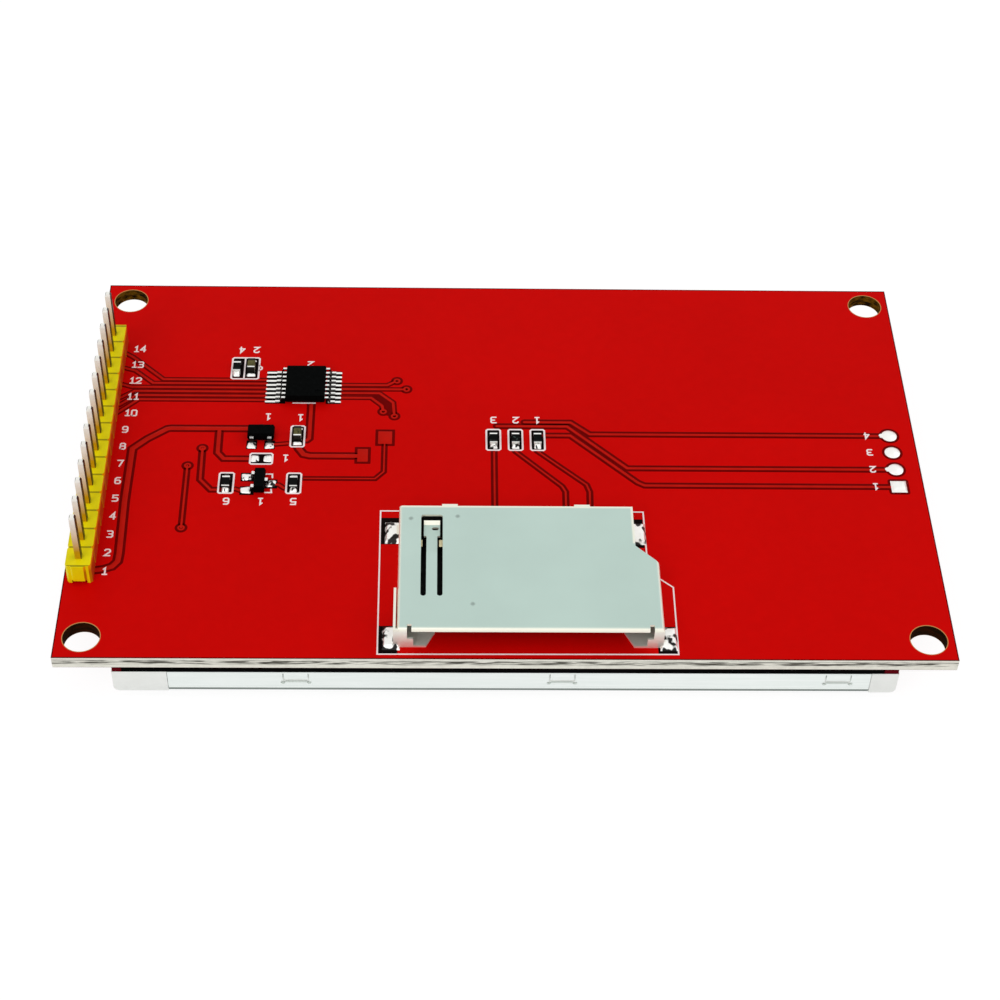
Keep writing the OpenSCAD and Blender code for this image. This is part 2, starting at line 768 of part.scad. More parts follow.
// the space that the shell's walls and tabs take up at the board
module socket_shell_body() {
    linear_extrude(socket_h) socket_plan(0, socket_d);
    for (at = tabs_at) translate(at) cube([tab_out, tab_l, shell_t]);
    side_arm();
}

// --- Small components ---------------------------------------------------------------------

module at_board(at) {
    translate([at[0], at[1], top_z]) children();
}

// Moulded body with a bevel round its upper half
module moulded_body(w, l, h) {
    stand = 0.08;
    mid = h * 0.55;
    b = 0.12;
    function side(size) =
        [[-size / 2, mid], [b - size / 2, stand], [size / 2 - b, stand],
         [size / 2, mid], [size / 2 - b, h], [b - size / 2, h]];
    intersection() {
        rotate([90, 0, 0]) linear_extrude(l, center = true) polygon(side(w));
        rotate([90, 0, 90]) linear_extrude(w, center = true) polygon(side(l));
    }
}

// Gull-wing lead, from a body's side at half its height down to the board
module gull_lead(body_w, h, reach, w) {
    mid = h * 0.55;
    x = body_w / 2;
    strip_xz([[x - fit, mid], [x + reach * 0.25, mid], [x + reach * 0.45, 0], [x + reach, 0]], lead_t, w);
}

module chip_lead_places() {
    for (side = [0, 180], i = [0:chip_leads - 1])
        rotate(side) translate([0, (i - (chip_leads - 1) / 2) * chip_pitch]) children();
}

module chip_lead() {
    gull_lead(chip_w, chip_h, chip_lead_l, chip_lead_w);
}

module touch_controller_body() {
    color("#181818") at_board(chip_at) difference() {
        moulded_body(chip_w, chip_l, chip_h);
        chip_lead_places() chip_lead();
        // mark beside the first lead
        translate([chip_w / 2 - 0.8, 0.8 - chip_l / 2, chip_h - 0.05]) cylinder(d = 0.6, h = 1);
    }
}

module touch_controller_leads() {
    color("silver") at_board(chip_at) chip_lead_places() chip_lead();
}

// Three leads of a small transistor outline: two on its -X side, one on its +X side
module small_lead_places() {
    rotate(180) for (y = [-1, 1]) translate([0, y * small_pitch / 2]) children();
    children();
}

module small_lead(w) {
    gull_lead(w, small_h, small_lead_l, small_lead_w);
}

module small_body(w) {
    difference() {
        moulded_body(w, small_l, small_h);
        small_lead_places() small_lead(w);
    }
}

module regulator_body() {
    color("#181818") at_board(regulator_at) rotate(90) small_body(regulator_w);
}

module regulator_leads() {
    color("silver") at_board(regulator_at) rotate(90) small_lead_places() small_lead(regulator_w);
}

module transistor_body() {
    color("#181818") at_board(transistor_at) small_body(transistor_w);
}

module transistor_leads() {
    color("silver") at_board(transistor_at) small_lead_places() small_lead(transistor_w);
}

// Middle and ends of a chip resistor or capacitor, along Y
module passive_middle(h) {
    l = passive_l - 2 * cap_l;
    translate([-passive_w / 2, -l / 2, 0]) cube([passive_w, l, h]);
}
module passive_ends(h) {
    for (y = [-passive_l / 2, passive_l / 2 - cap_l])
        translate([-passive_w / 2, y, 0]) cube([passive_w, cap_l, h]);
}

module resistor_bodies() {
    color("#202020") for (at = resistors_at) at_board(at) passive_middle(resistor_h);
}

module resistor_ends() {
    color("silver") for (at = resistors_at) at_board(at) passive_ends(resistor_h);
}

module capacitor_bodies() {
    color("tan") for (at = capacitors_at) at_board(at) passive_middle(capacitor_h);
}

module capacitor_ends() {
    color("silver") for (at = capacitors_at) at_board(at) passive_ends(capacitor_h);
}

// Solder against the outer face of each end cap and over each lead's foot
module passive_solder() {
    for (side = [-1, 1]) difference() {
        translate([0, side * (passive_l / 2 + 0.1), 0]) heap(passive_w + 0.1, 0.8, solder_h);
        block([-passive_w, -passive_l / 2, -1], [passive_w, passive_l / 2, 1]);
    }
}
module lead_solder(body_w, reach, w) {
    difference() {
        translate([body_w / 2 + reach, 0, 0]) heap(0.9, w + 0.16, solder_h);
        children();
    }
}

module component_solder() {
    color("silver") {
        for (at = concat(resistors_at, capacitors_at)) at_board(at) passive_solder();
        at_board(chip_at) chip_lead_places()
            lead_solder(chip_w, chip_lead_l, chip_lead_w) chip_lead();
        for (place = [[regulator_at, 90, regulator_w], [transistor_at, 0, transistor_w]])
            at_board(place[0]) rotate(place[1]) small_lead_places()
                lead_solder(place[2], small_lead_l, small_lead_w) small_lead(place[2]);
    }
}

// Two bare pads left open, each with its heap of solder
module jumper_solder() {
    color("silver") for (side = [-1, 1])
        at_board(jumper_at + [side * jumper_pitch / 2, 0]) heap(jumper_pad[0], jumper_pad[1], solder_h);
}

// --- Display frame and backlight ----------------------------------------------------------

// The moulding's corner blocks in plan, drawn out by a margin
module corner_plans(out) {
    for (y = [-1, 1]) mirror([0, y < 0 ? 0 : 1]) {
        translate([-display_w / 2 - out, front_y - out]) square([corner_head + 2 * out, corner_d + 2 * out]);
        translate([display_w / 2 - corner_far - out, front_y - out])
            square([corner_far + 2 * out, corner_d + 2 * out]);
    }
}

module at_latches() {
    for (x = latch_at, y = [0, 1])
        mirror([0, y, 0]) translate([x, front_y, back_z - latch_h]) children();
}

// Opening round a latch tongue: the window below it, a slit on each side and a relief at each lower corner
module latch_window() {
    slit_h = latch_h - frame_t;
    translate([-latch_w / 2, -cut, 0]) cube([latch_w, cut + frame_t + eps, latch_open]);
    for (side = [-1, 1]) {
        translate([side * (latch_w - latch_slit) / 2 - latch_slit / 2, -cut, 0])
            cube([latch_slit, cut + frame_t + eps, slit_h]);
        translate([side * latch_w / 2, 0, 0]) rotate([90, 0, 0])
            cylinder(d = latch_relief, h = 2 * frame_t + eps, center = true);
    }
}

// Way out for the flexible circuits at the header end
module flex_way(deep) {
    block([-display_w / 2 - 1, -flex_w / 2 - 0.4, front_z - corner_drop - 1],
          [deep, flex_w / 2 + 0.4, tft_z + 0.1]);
}
module lamp_tail_way(deep) {
    block([-display_w / 2 - 1, lamp_tail_y - lamp_tail_w / 2 - 0.2, reflector_z - 0.1],
          [deep, lamp_tail_y + lamp_tail_w / 2 + 0.2, sheet_z]);
}

module display_frame() {
    color("gainsboro") {
        difference() {
            translate([-display_w / 2, front_y, front_z]) cube([display_w, display_d, back_z - front_z]);
            // inside of the tray
            block([frame_t - display_w / 2, frame_t + front_y, front_z - 1],
                  [display_w / 2 - frame_t, -front_y - frame_t, sheet_z]);
            translate([0, 0, front_z - 1]) linear_extrude(back_z) corner_plans(fit);
            at_latches() latch_window();
            flex_way(0);
            lamp_tail_way(0);
        }
    }
}

// Corner blocks of the moulding, with their outer lower edges rounded
module corner_blocks() {
    r = 0.6;
    low = front_z - corner_drop;
    intersection() {
        translate([0, 0, low]) linear_extrude(back_z - low) corner_plans(0);
        rotate([90, 0, 0]) linear_extrude(display_d, center = true) {
            translate([-display_w / 2, low + r]) square([display_w, back_z - low]);
            translate([r - display_w / 2, low]) square([display_w - 2 * r, r + eps]);
            for (x = [-1, 1]) translate([x * (display_w / 2 - r), low + r]) circle(r);
        }
    }
}

module backlight_moulding() {
    color("whitesmoke") difference() {
        union() {
            sheet(-inner_x, inner_x, inner_y, front_z, sheet_z - front_z);
            corner_blocks();
        }
        // cell pocket, open at the front
        sheet(-cell_x, cell_x, cell_y, front_z - corner_drop - 1, upper_prism_z - front_z + corner_drop + 1);
        // light pocket, open at the back
        sheet(-light_x, light_x, light_y, front_z, back_z);
        // room for the touch panel between the corners' lower lips
        sheet(-touch_x - fit, touch_x + fit, touch_y + fit, 0, front_z);
        flex_way(-cell_x + eps);
        lamp_tail_way(-light_x + eps);
    }
}

module reflector_sheet() {
    color("white") sheet(lamp_space - light_x, light_x - fit, light_y - fit, reflector_z, film_t);
}

module light_guide() {
    color("aliceblue") sheet(lamp_space - light_x, light_x - fit, light_y - fit, guide_z, guide_t);
}

module diffuser_film() {
    color("white") sheet(lamp_space - light_x, light_x - fit, light_y - fit, diffuser_z, film_t);
}

module lower_prism_film() {
    color("lightcyan") sheet(lamp_space - light_x, light_x - fit, light_y - fit, lower_prism_z, film_t);
}

module upper_prism_film() {
    color("lightcyan") sheet(lamp_space - light_x, light_x - fit, light_y - fit, upper_prism_z, film_t);
}

// Strip that carries the lamps, and its tail folded back over the frame onto the display flex
module lamp_flex() {
    fold_z = (reflector_z + board_z - flex_t) / 2;
    fold_r = (board_z - flex_t - reflector_z) / 2;
    out_x = -display_w / 2 - 0.2;
    color("orange") {
        sheet(fit - light_x, lamp_space - light_x - fit, light_y - fit, reflector_z, film_t);
        translate([0, lamp_tail_y, 0]) mirror([1, 0, 0])
            strip_xz(concat([[light_x - fit - eps, reflector_z]], arc([-out_x, fold_z], fold_r, -90, 90, 12),
                            [[display_w / 2 - lamp_tail_l, fold_z + fold_r]]), film_t, lamp_tail_w);
    }
}

module backlight_lamps() {
    pitch = (2 * light_y - 2) / lamp_count;
    color("lightyellow") for (i = [0:lamp_count - 1])
        translate([fit - light_x, (i - (lamp_count - 1) / 2) * pitch - lamp_l / 2, reflector_z - lamp_h])
            cube([lamp_d, lamp_l, lamp_h]);
}

// --- Liquid crystal cell ------------------------------------------------------------------

// Sheet of the cell that starts some way from its header end
module cell_sheet(start, in, z, t) {
    sheet(start - cell_x, cell_x - fit - in, cell_y - fit - in, z, t);
}

module rim_tape() {
    outer_x = cell_x - fit - polariser_inset;
    outer_y = cell_y - fit - polariser_inset;
    w = ledge_w - polariser_inset + 0.4;
    color("black") translate([0, 0, rim_tape_z])
        flat_ring([outer_x, outer_y], [outer_x - w, outer_y - w], rim_tape_t);
}

module rear_polariser() {
    color("slategray") cell_sheet(fit + polariser_inset, polariser_inset, rear_polariser_z, polariser_t);
}

module tft_glass() {
    color("lightblue") cell_sheet(fit, 0, tft_z, cell_glass_t);
}

module filter_glass() {
    color("lightblue") cell_sheet(fit + step_l, 0, filter_z, cell_glass_t);
}

module front_polariser() {
    color("slategray") cell_sheet(fit + step_l + polariser_inset, polariser_inset, front_z, polariser_t);
}

module driver_chip() {
    color("dimgray") translate([step_l - cell_x - driver_w - 0.45, -driver_l / 2, tft_z - driver_h])
        cube([driver_w, driver_l, driver_h]);
}

// Bonded leg, fold and board leg of the display's flexible circuit
module display_flex() {
    bond_x = cell_x - fit - bond_l;
    color("darkorange") mirror([1, 0, 0])
        strip_xz(concat([[bond_x, flex_z]],
                        arc([-flex_mid_x, fold_mid_z], fold_inner_r + flex_t, -90, 90, 24),
                        [[-flex_end_x, board_z]]), flex_t, flex_w);
}

// Soldered contacts over the end of the board leg
module flex_solder() {
    color("silver") for (i = [0:flex_pads - 1])
        translate([flex_end_x, (i - (flex_pads - 1) / 2) * flex_pitch, 0]) difference() {
            translate([0, 0, board_z]) mirror([0, 0, 1]) heap(flex_pad_l, flex_pitch * 0.55, flex_t + 0.12);
            block([-flex_pad_l, -flex_pitch, board_z - flex_t], [0, flex_pitch, board_z]);
        }
}

// --- Touch panel --------------------------------------------------------------------------

touch_x = display_w / 2 - touch_inset;
touch_y = display_d / 2 - touch_inset;

module touch_glass() {
    color("azure") sheet(-touch_x, touch_x, touch_y, touch_glass_z, touch_glass_t);
}

module touch_film() {
    color("azure") sheet(-touch_x, touch_x, touch_y, 0, touch_film_t);
}

module touch_spacer() {
    color("black") translate([0, 0, spacer_z]) difference() {
        flat_ring([touch_x, touch_y], [touch_x - touch_spacer_w, touch_y - touch_spacer_w], touch_spacer_t);
        translate([-touch_x - 1, touch_tail_y - touch_tail_w / 2 - fit, -1])
            cube([touch_spacer_w / 2 + 1 + fit, touch_tail_w + 2 * fit, 2]);
    }
}

module touch_tape() {
    color("black") translate([0, 0, touch_tape_z])
        flat_ring([touch_x, touch_y], [touch_x - touch_tape_w, touch_y - touch_tape_w], touch_tape_t);
}

// Tail that leaves between the film and the glass and rises to the display flex
module touch_flex() {
    start = [touch_x - touch_spacer_w / 2, spacer_z];
    edge = [touch_x + fit, spacer_z];
    foot = [-flex_mid_x - touch_foot_l, flex_z - touch_spacer_t];
    color("orange") translate([0, touch_tail_y, 0]) mirror([1, 0, 0])
        strip_xz(concat([start], rise(edge, foot, 12), [[-flex_mid_x, foot[1]]]),
                 touch_spacer_t, touch_tail_w);
}

// --- Tape between display and board -------------------------------------------------------

module mounting_tape() {
    color("#202020") for (y = [front_y + tape_inset, -front_y - tape_inset - tape_w])
        translate([tape_start - display_w / 2, y, back_z])
            cube([display_w - tape_start - tape_stop, tape_w, tape_t]);
}

circuit_board();
header_insulator();
header_pins();
header_solder();
card_pad_solder();
socket_shell();
socket_insulator();
socket_contacts();
socket_solder();
touch_controller_body();
touch_controller_leads();
regulator_body();
regulator_leads();
transistor_body();
transistor_leads();
resistor_bodies();
resistor_ends();
capacitor_bodies();
capacitor_ends();
component_solder();
jumper_solder();
display_frame();
backlight_moulding();
reflector_sheet();
light_guide();
diffuser_film();
lower_prism_film();
upper_prism_film();
lamp_flex();
backlight_lamps();
rim_tape();
rear_polariser();
tft_glass();
filter_glass();
front_polariser();
driver_chip();
display_flex();
flex_solder();
touch_glass();
touch_spacer();
touch_film();
touch_tape();
touch_flex();
mounting_tape();
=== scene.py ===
import math

import bpy
import numpy as np
from mathutils import Matrix, Vector


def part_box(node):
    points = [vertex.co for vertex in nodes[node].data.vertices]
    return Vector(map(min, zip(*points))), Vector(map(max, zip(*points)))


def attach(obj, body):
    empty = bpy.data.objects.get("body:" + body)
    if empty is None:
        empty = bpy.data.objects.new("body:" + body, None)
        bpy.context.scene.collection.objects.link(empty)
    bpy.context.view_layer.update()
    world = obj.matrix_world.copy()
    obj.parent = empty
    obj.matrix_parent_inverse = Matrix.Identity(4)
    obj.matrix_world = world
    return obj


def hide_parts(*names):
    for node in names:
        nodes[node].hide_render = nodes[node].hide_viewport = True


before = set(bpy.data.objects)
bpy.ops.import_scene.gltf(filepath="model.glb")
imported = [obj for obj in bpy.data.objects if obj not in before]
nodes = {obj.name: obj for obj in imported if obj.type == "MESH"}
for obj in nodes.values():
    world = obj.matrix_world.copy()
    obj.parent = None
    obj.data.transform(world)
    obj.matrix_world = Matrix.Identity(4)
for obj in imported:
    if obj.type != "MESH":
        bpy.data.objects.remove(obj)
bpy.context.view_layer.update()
mm = 0.001
boardLow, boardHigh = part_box("circuit_board")
boardTop = boardHigh.z / mm          # the component side, in mm
print("frame:", len(nodes), "nodes")


# Shapes are worked out in mm, as (points, four-sided faces, end faces)

# Rings of points: each ring joins the next with four-sided faces, and one flat face closes each
# end, or the last ring joins the first. A shape that comes out inside out is turned round.
def skin(rings, loop=False):
    rows, around = rings.shape[:2]
    i, j = np.meshgrid(np.arange(rows if loop else rows - 1), np.arange(around), indexing="ij")
    i, j = i.ravel(), j.ravel()
    k, n = (j + 1) % around, (i + 1) % rows
    quads = np.stack([i * around + j, i * around + k, n * around + k, n * around + j], 1)
    points = rings.reshape(-1, 3)
    ends = [] if loop else [np.arange(around)[::-1], np.arange(around) + (rows - 1) * around]
    corners = [quads[:, :3], quads[:, [0, 2, 3]]]
    corners += [np.stack([np.full(around - 2, end[0]), end[1:-1], end[2:]], 1) for end in ends]
    a, b, c = np.moveaxis(points[np.concatenate(corners)] - points.mean(0), 1, 0)
    if np.sum(a * np.cross(b, c)) < 0:
        quads, ends = quads[:, ::-1], [end[::-1] for end in ends]
    return points, quads, ends


# Corner arcs of a rounded rectangle about its middle, counterclockwise
def outline(size, corner, steps=3):
    quarter = np.radians(np.linspace(0, 90, steps + 1))
    angles = (quarter[None, :] + np.radians([0, 90, 180, 270])[:, None]).ravel()
    middles = np.array([[1, 1], [-1, 1], [-1, -1], [1, -1]]) * (np.array(size) / 2 - corner)
    arcs = np.stack([np.cos(angles), np.sin(angles)], 1)
    return np.repeat(middles, steps + 1, axis=0) + corner * arcs


# Flat rings stacked at the given heights, each one outline times its own share
def stack(flat, shares, heights, mid, base):
    shares, heights = np.array(shares)[:, None, None], np.array(heights, float)
    rings = np.zeros((len(heights), len(flat), 3))
    rings[..., :2] = np.array(mid) + flat[None] * shares
    rings[..., 2] = boardTop + base + (heights[:, None] if heights.ndim == 1 else heights)
    return rings


# A flat pad or patch: a rounded rectangle that rises and draws in a little at its top edge
def plate(mid, size, height, base=0.0, corner=0.05, steps=3):
    flat = outline(size, corner, steps)
    return skin(stack(flat, [1, 1, 0.97], [0, height * 0.6, height], mid, base))


# A flat ring: a low trapezium turned about the vertical through its middle
def washer(mid, inner, outer, height, base=0.0):
    flat = outline((2, 2), 1.0, 5)
    edge = 0.1 * (outer - inner)
    radii = [inner, inner + edge, outer - edge, outer]
    return skin(stack(flat, radii, [0, height, height, 0], mid, base), loop=True)


# A line: a low trapezium carried along a path, with its corners mitred. At an open end the half
# width follows a half circle, from the last stretch's full width down to almost nothing.
def line(path, width, height, base=0.0, loop=False):
    path, r = np.array(path, float), width / 2
    ahead = np.roll(path, -1, axis=0) - path
    ahead /= np.linalg.norm(ahead, axis=1, keepdims=True) + 1e-12
    if not loop:
        ahead[-1] = ahead[-2]
    before = np.roll(ahead, 1, axis=0)
    if not loop:
        before[0] = ahead[0]
    left = np.stack([-ahead[:, 1] - before[:, 1], ahead[:, 0] + before[:, 0]], 1)
    left /= np.sum(left ** 2, axis=1, keepdims=True) / 2
    mids, sides = path, left * r
    if not loop:
        swing = np.radians([84, 60, 32])[:, None]
        mids = np.concatenate([path[0] - ahead[0] * r * np.sin(swing), path,
                               path[-1] + ahead[-1] * r * np.sin(swing[::-1])])
        sides = np.concatenate([sides[0] * np.cos(swing), sides, sides[-1] * np.cos(swing[::-1])])
    rings = np.zeros((len(mids), 4, 3))
    rings[..., :2] = mids[:, None] + sides[:, None] * np.array([1, 0.86, -0.86, -1])[None, :, None]
    rings[..., 2] = boardTop + base + np.array([0, height, height, 0])
    return skin(rings, loop)


# A solder heap: rings of one rounded rectangle shrink by t towards the middle and rise by
# height * (1 - t^2)^0.6. It leans towards one side, slow waves round it make it uneven, and it may
# be drawn in towards its back, where its width is 1 - taper * y.
def heap(mid, size, height, lean=(0, 0), uneven=0.12, seed=0, corner=0.3, taper=0.0):
    flat = outline(size, min(corner, min(size) / 2 - 0.01), 4)
    flat[:, 0] *= 1 - taper * (0.5 + flat[:, 1] / size[1])
    t = np.array([1.0, 1.0, 0.94, 0.84, 0.7, 0.54, 0.36, 0.18, 0.05])
    angle = np.arctan2(flat[:, 1], flat[:, 0])
    waves = np.sin(2 * angle + seed * 1.7) + 0.7 * np.sin(3 * angle + seed * 2.9)
    rise = height * (1 - t[:, None] ** 2) ** 0.6 * (1 + uneven * waves * t[:, None])
    tilt = flat @ np.array(lean, float) / (max(size) / 2)
    rise = rise * (1 + tilt[None] * t[:, None])
    rise[0] = 0
    rise[1] = 0.02
    flat = flat * (1 + 0.5 * uneven * np.sin(3 * angle + seed))[:, None]
    return skin(stack(flat, t, rise, mid, 0.0))


# One mesh from several shapes, at its place in the frame, in metres
def addPiece(name, shapes, finish, stands=(), smoothAngle=40):
    starts = np.cumsum([0] + [len(points) for points, _, _ in shapes[:-1]])
    points = np.concatenate([shape[0] for shape in shapes]) * mm
    loops, sizes = [], []
    for (_, quads, ends), start in zip(shapes, starts):
        loops += [quads.ravel() + start] + [end + start for end in ends]
        sizes += [np.full(len(quads), 4)] + [[len(end)] for end in ends]
    loops, sizes = np.concatenate(loops), np.concatenate(sizes)
    mesh = bpy.data.meshes.new(name)
    mesh.vertices.add(len(points))
    mesh.vertices.foreach_set("co", points.ravel())
    mesh.loops.add(len(loops))
    mesh.loops.foreach_set("vertex_index", loops)
    mesh.polygons.add(len(sizes))
    mesh.polygons.foreach_set("loop_start", np.cumsum(np.concatenate([[0], sizes[:-1]])))
    mesh.update(calc_edges=True)
    mesh.validate()
    mesh.shade_smooth()
    mesh.set_sharp_from_angle(angle=math.radians(smoothAngle))
    mesh.materials.append(finish)
    piece = bpy.data.objects.new(name, mesh)
    bpy.context.scene.collection.objects.link(piece)
    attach(piece, "root")
    if stands:
        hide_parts(*stands)
    return piece


# Node helpers
def addNode(tree, kind, inputs=None, **settings):
    node = tree.nodes.new(kind)
    for key, value in settings.items():
        setattr(node, key, value)
    fillInputs(tree, node, inputs or {})
    return node


def fillInputs(tree, node, inputs):
    for key, value in inputs.items():
        if isinstance(value, bpy.types.NodeSocket):
            tree.links.new(value, node.inputs[key])
        else:
            node.inputs[key].default_value = value


# Short signs for the commonest sums
signs = {"+": "ADD", "-": "SUBTRACT", "*": "MULTIPLY", "/": "DIVIDE", "<": "LESS_THAN", ">": "GREATER_THAN"}


def calc(tree, operation, a, b=0.0, c=0.0, clamp=False):
    kind = signs.get(operation, operation)
    return addNode(tree, "ShaderNodeMath", {0: a, 1: b, 2: c}, operation=kind, use_clamp=clamp).outputs[0]


def vectorCalc(tree, operation, a, b=(0, 0, 0)):
    return addNode(tree, "ShaderNodeVectorMath", {0: a, 1: b}, operation=operation).outputs[0]


def split(tree, vector):
    return addNode(tree, "ShaderNodeSeparateXYZ", {0: vector}).outputs


# The three parts of the surface's own direction
def facing(tree):
    return split(tree, addNode(tree, "ShaderNodeTexCoord").outputs["Normal"])


# A value carried from one range to another, and held at its ends
def ramp(tree, value, low, high, first=0.0, last=1.0):
    return addNode(tree, "ShaderNodeMapRange", {0: value, 1: low, 2: high, 3: first, 4: last}).outputs[0]


# 1 up to a start, then down to 0: both ends are in mm from where the measure starts
def fade(tree, value, start, ends, most=1.0):
    return ramp(tree, value, start + ends[0] * mm, start + ends[1] * mm, most, 0.0)


# A band mask: 1 where a value is between two limits, with soft edges
def band(tree, value, low, high, soft):
    up, down = [ramp(tree, value, limit - soft, limit + soft) for limit in (low, high)]
    return calc(tree, "-", up, down, clamp=True)


def addNoise(tree, place, scale, detail):
    return addNode(tree, "ShaderNodeTexNoise", {"Vector": place, "Scale": scale, "Detail": detail}).outputs[0]


# A normal from a height in metres
def lift(tree, height, **inputs):
    return addNode(tree, "ShaderNodeBump", {"Height": height, "Distance": 1.0, **inputs}).outputs[0]


# Levels from 0 to 255 as linear light. A socket stays as it is.
def rgb(colour):
    if isinstance(colour, bpy.types.NodeSocket):
        return colour
    levels = np.array(colour) / 255
    return (*np.where(levels <= 0.04045, levels / 12.92, ((levels + 0.055) / 1.055) ** 2.4), 1.0)


def blend(tree, share, a, b):
    inputs = {0: share, 6: rgb(a), 7: rgb(b)}
    return addNode(tree, "ShaderNodeMix", inputs, data_type="RGBA").outputs[2]


# A node group with a place and other inputs: a number, a vector of three or a colour of four.
# What build returns goes to the outputs, in turn.
def makeGroup(name, build, inputs, outputs):
    group = bpy.data.node_groups.new(name, "ShaderNodeTree")
    group.interface.new_socket("Place", in_out="INPUT", socket_type="NodeSocketVector")
    for label, value in inputs.items():
        kind = {1: "Float", 3: "Vector", 4: "Color"}[np.size(value)]
        socket = group.interface.new_socket(label, in_out="INPUT", socket_type="NodeSocket" + kind)
        socket.default_value = value
    for label, kind in outputs.items():
        group.interface.new_socket(label, in_out="OUTPUT", socket_type="NodeSocket" + kind)
    enter, leave = group.nodes.new("NodeGroupInput"), group.nodes.new("NodeGroupOutput")
    for label, result in zip(outputs, build(group, enter.outputs)):
        group.links.new(result, leave.inputs[label])
    return group


# A group used in a finish, at the surface's place
def useGroup(tree, group, **inputs):
    place = tree.nodes["place"].outputs["Object"]
    return addNode(tree, "ShaderNodeGroup", {"Place": place, **inputs}, node_tree=group).outputs


# Slow change of tone: the colour times 1 plus or minus an amount that noise sets
def buildUnevenTone(group, enter):
    spread = ramp(group, addNoise(group, enter["Place"], enter["Size"], 4.0), 0.32, 0.68, -1.0, 1.0)
    factor = calc(group, "MULTIPLY_ADD", spread, enter["Amount"], 1.0)
    inputs = {0: enter["Colour"], "Scale": factor}
    return [addNode(group, "ShaderNodeVectorMath", inputs, operation="SCALE").outputs[0]]


# Fine grain: noise of a given size and depth, both in metres, as a normal
def buildFineGrain(group, enter):
    grain = addNoise(group, enter["Place"], calc(group, "/", 1.0, enter["Size"]), 3.0)
    return [lift(group, calc(group, "*", grain, enter["Depth"]))]


# Changing gloss: noise picks a roughness between two limits
def buildGlossRange(group, enter):
    level = addNoise(group, enter["Place"], enter["Size"], 5.0)
    return [ramp(group, level, 0.3, 0.7, enter["Low"], enter["High"])]


# Roll marks: noise stretched by a vector, as streaks in height and tone
def buildRollMarks(group, enter):
    streaks = addNoise(group, vectorCalc(group, "MULTIPLY", enter["Place"], enter["Stretch"]), 1.0, 4.0)
    return lift(group, calc(group, "*", streaks, enter["Depth"])), streaks


# Specks: small round spots where a cell's distance is under a share that noise thins out
def buildSpecks(group, enter):
    cells = addNode(group, "ShaderNodeTexVoronoi", {"Vector": enter["Place"], "Scale": enter["Size"]})
    thin = addNoise(group, enter["Place"], calc(group, "*", enter["Size"], 0.23), 1.0)
    reach = calc(group, "*", calc(group, "-", thin, 0.5, clamp=True), enter["Share"])
    return [calc(group, "<", cells.outputs["Distance"], calc(group, "*", reach, 8.0))]


unevenTone = makeGroup("unevenTone", buildUnevenTone,
                       {"Colour": (1.0, 1.0, 1.0, 1.0), "Amount": 0.1, "Size": 500.0}, {"Colour": "Color"})
fineGrain = makeGroup("fineGrain", buildFineGrain, {"Size": 0.0002, "Depth": 0.000004}, {"Normal": "Vector"})
glossRange = makeGroup("glossRange", buildGlossRange, {"Size": 400.0, "Low": 0.3, "High": 0.5},
                       {"Roughness": "Float"})
rollMarks = makeGroup("rollMarks", buildRollMarks, {"Stretch": (300.0, 6000.0, 6000.0), "Depth": 0.000002},
                      {"Normal": "Vector", "Mask": "Float"})
specks = makeGroup("specks", buildSpecks, {"Size": 900.0, "Share": 0.2}, {"Mask": "Float"})


def uneven(tree, colour, amount, size):
    return useGroup(tree, unevenTone, Colour=rgb(colour), Amount=amount, Size=size)["Colour"]


def rolled(tree, stretch, depth):
    return useGroup(tree, rollMarks, Stretch=stretch, Depth=depth)


def pickGloss(tree, low, high, size):
    return useGroup(tree, glossRange, Size=size, Low=low, High=high)["Roughness"]


def startFinish(name, metallic=0.0, specular=0.5, alpha=1.0):
    material = bpy.data.materials.new(name)
    material.use_nodes = True
    tree = material.node_tree
    shader = tree.nodes["Principled BSDF"].inputs
    for label, value in (("Metallic", metallic), ("Specular IOR Level", specular), ("Alpha", alpha)):
        shader[label].default_value = value
    return material, tree, addNode(tree, "ShaderNodeTexCoord", name="place").outputs["Object"]


# The last links of a finish. The gloss is a socket, or the lowest and highest roughness and the
# noise's size. The normal is a socket, or a grain's size and depth.
def endFinish(material, colour, gloss, normal):
    tree = material.node_tree
    if isinstance(gloss, tuple):
        gloss = pickGloss(tree, *gloss)
    if isinstance(normal, tuple):
        size, depth = normal
        normal = useGroup(tree, fineGrain, Size=size, Depth=depth)["Normal"]
    results = {"Base Color": colour, "Roughness": gloss, "Normal": normal}
    fillInputs(tree, tree.nodes["Principled BSDF"], results)
    return material


# The finish of a plain moulded, plated or coated surface: tone, gloss and grain from the groups.
# A grain whose size is a vector stands for roll marks.
def plainFinish(name, colour, tone, gloss, grain, specular, metallic=0.0, speckColour=None, spread=None):
    material, tree, _ = startFinish(name, metallic, specular)
    toned = uneven(tree, colour, *tone)
    if spread:
        spots = useGroup(tree, specks, Size=spread[0], Share=spread[1])["Mask"]
        toned = blend(tree, spots, toned, speckColour)
    normal = rolled(tree, *grain)["Normal"] if np.ndim(grain[0]) else grain
    return endFinish(material, toned, gloss, normal)


def dress(nodeNames, finish):
    for name in nodeNames:
        nodes[name].data.materials.clear()
        nodes[name].data.materials.append(finish)


# Circuit board: red mask on both faces with a thin band of painted shade along its outer edge, pale layered
# edges and brown hole walls
board = {
    "mask": (212, 5, 3), "edgeShade": (96, 2, 1), "edgeShadeW": 0.12, "edge": (244, 242, 230),
    "fibre": (92, 90, 82), "hole": (122, 82, 14), "frontHoleShade": (52, 22, 6), "burnt": (30, 17, 5),
    "rim": (205, 150, 90), "holeX": 42, "holeY": 24.87, "holeR": 1.85, "rimW": 0.07,
}


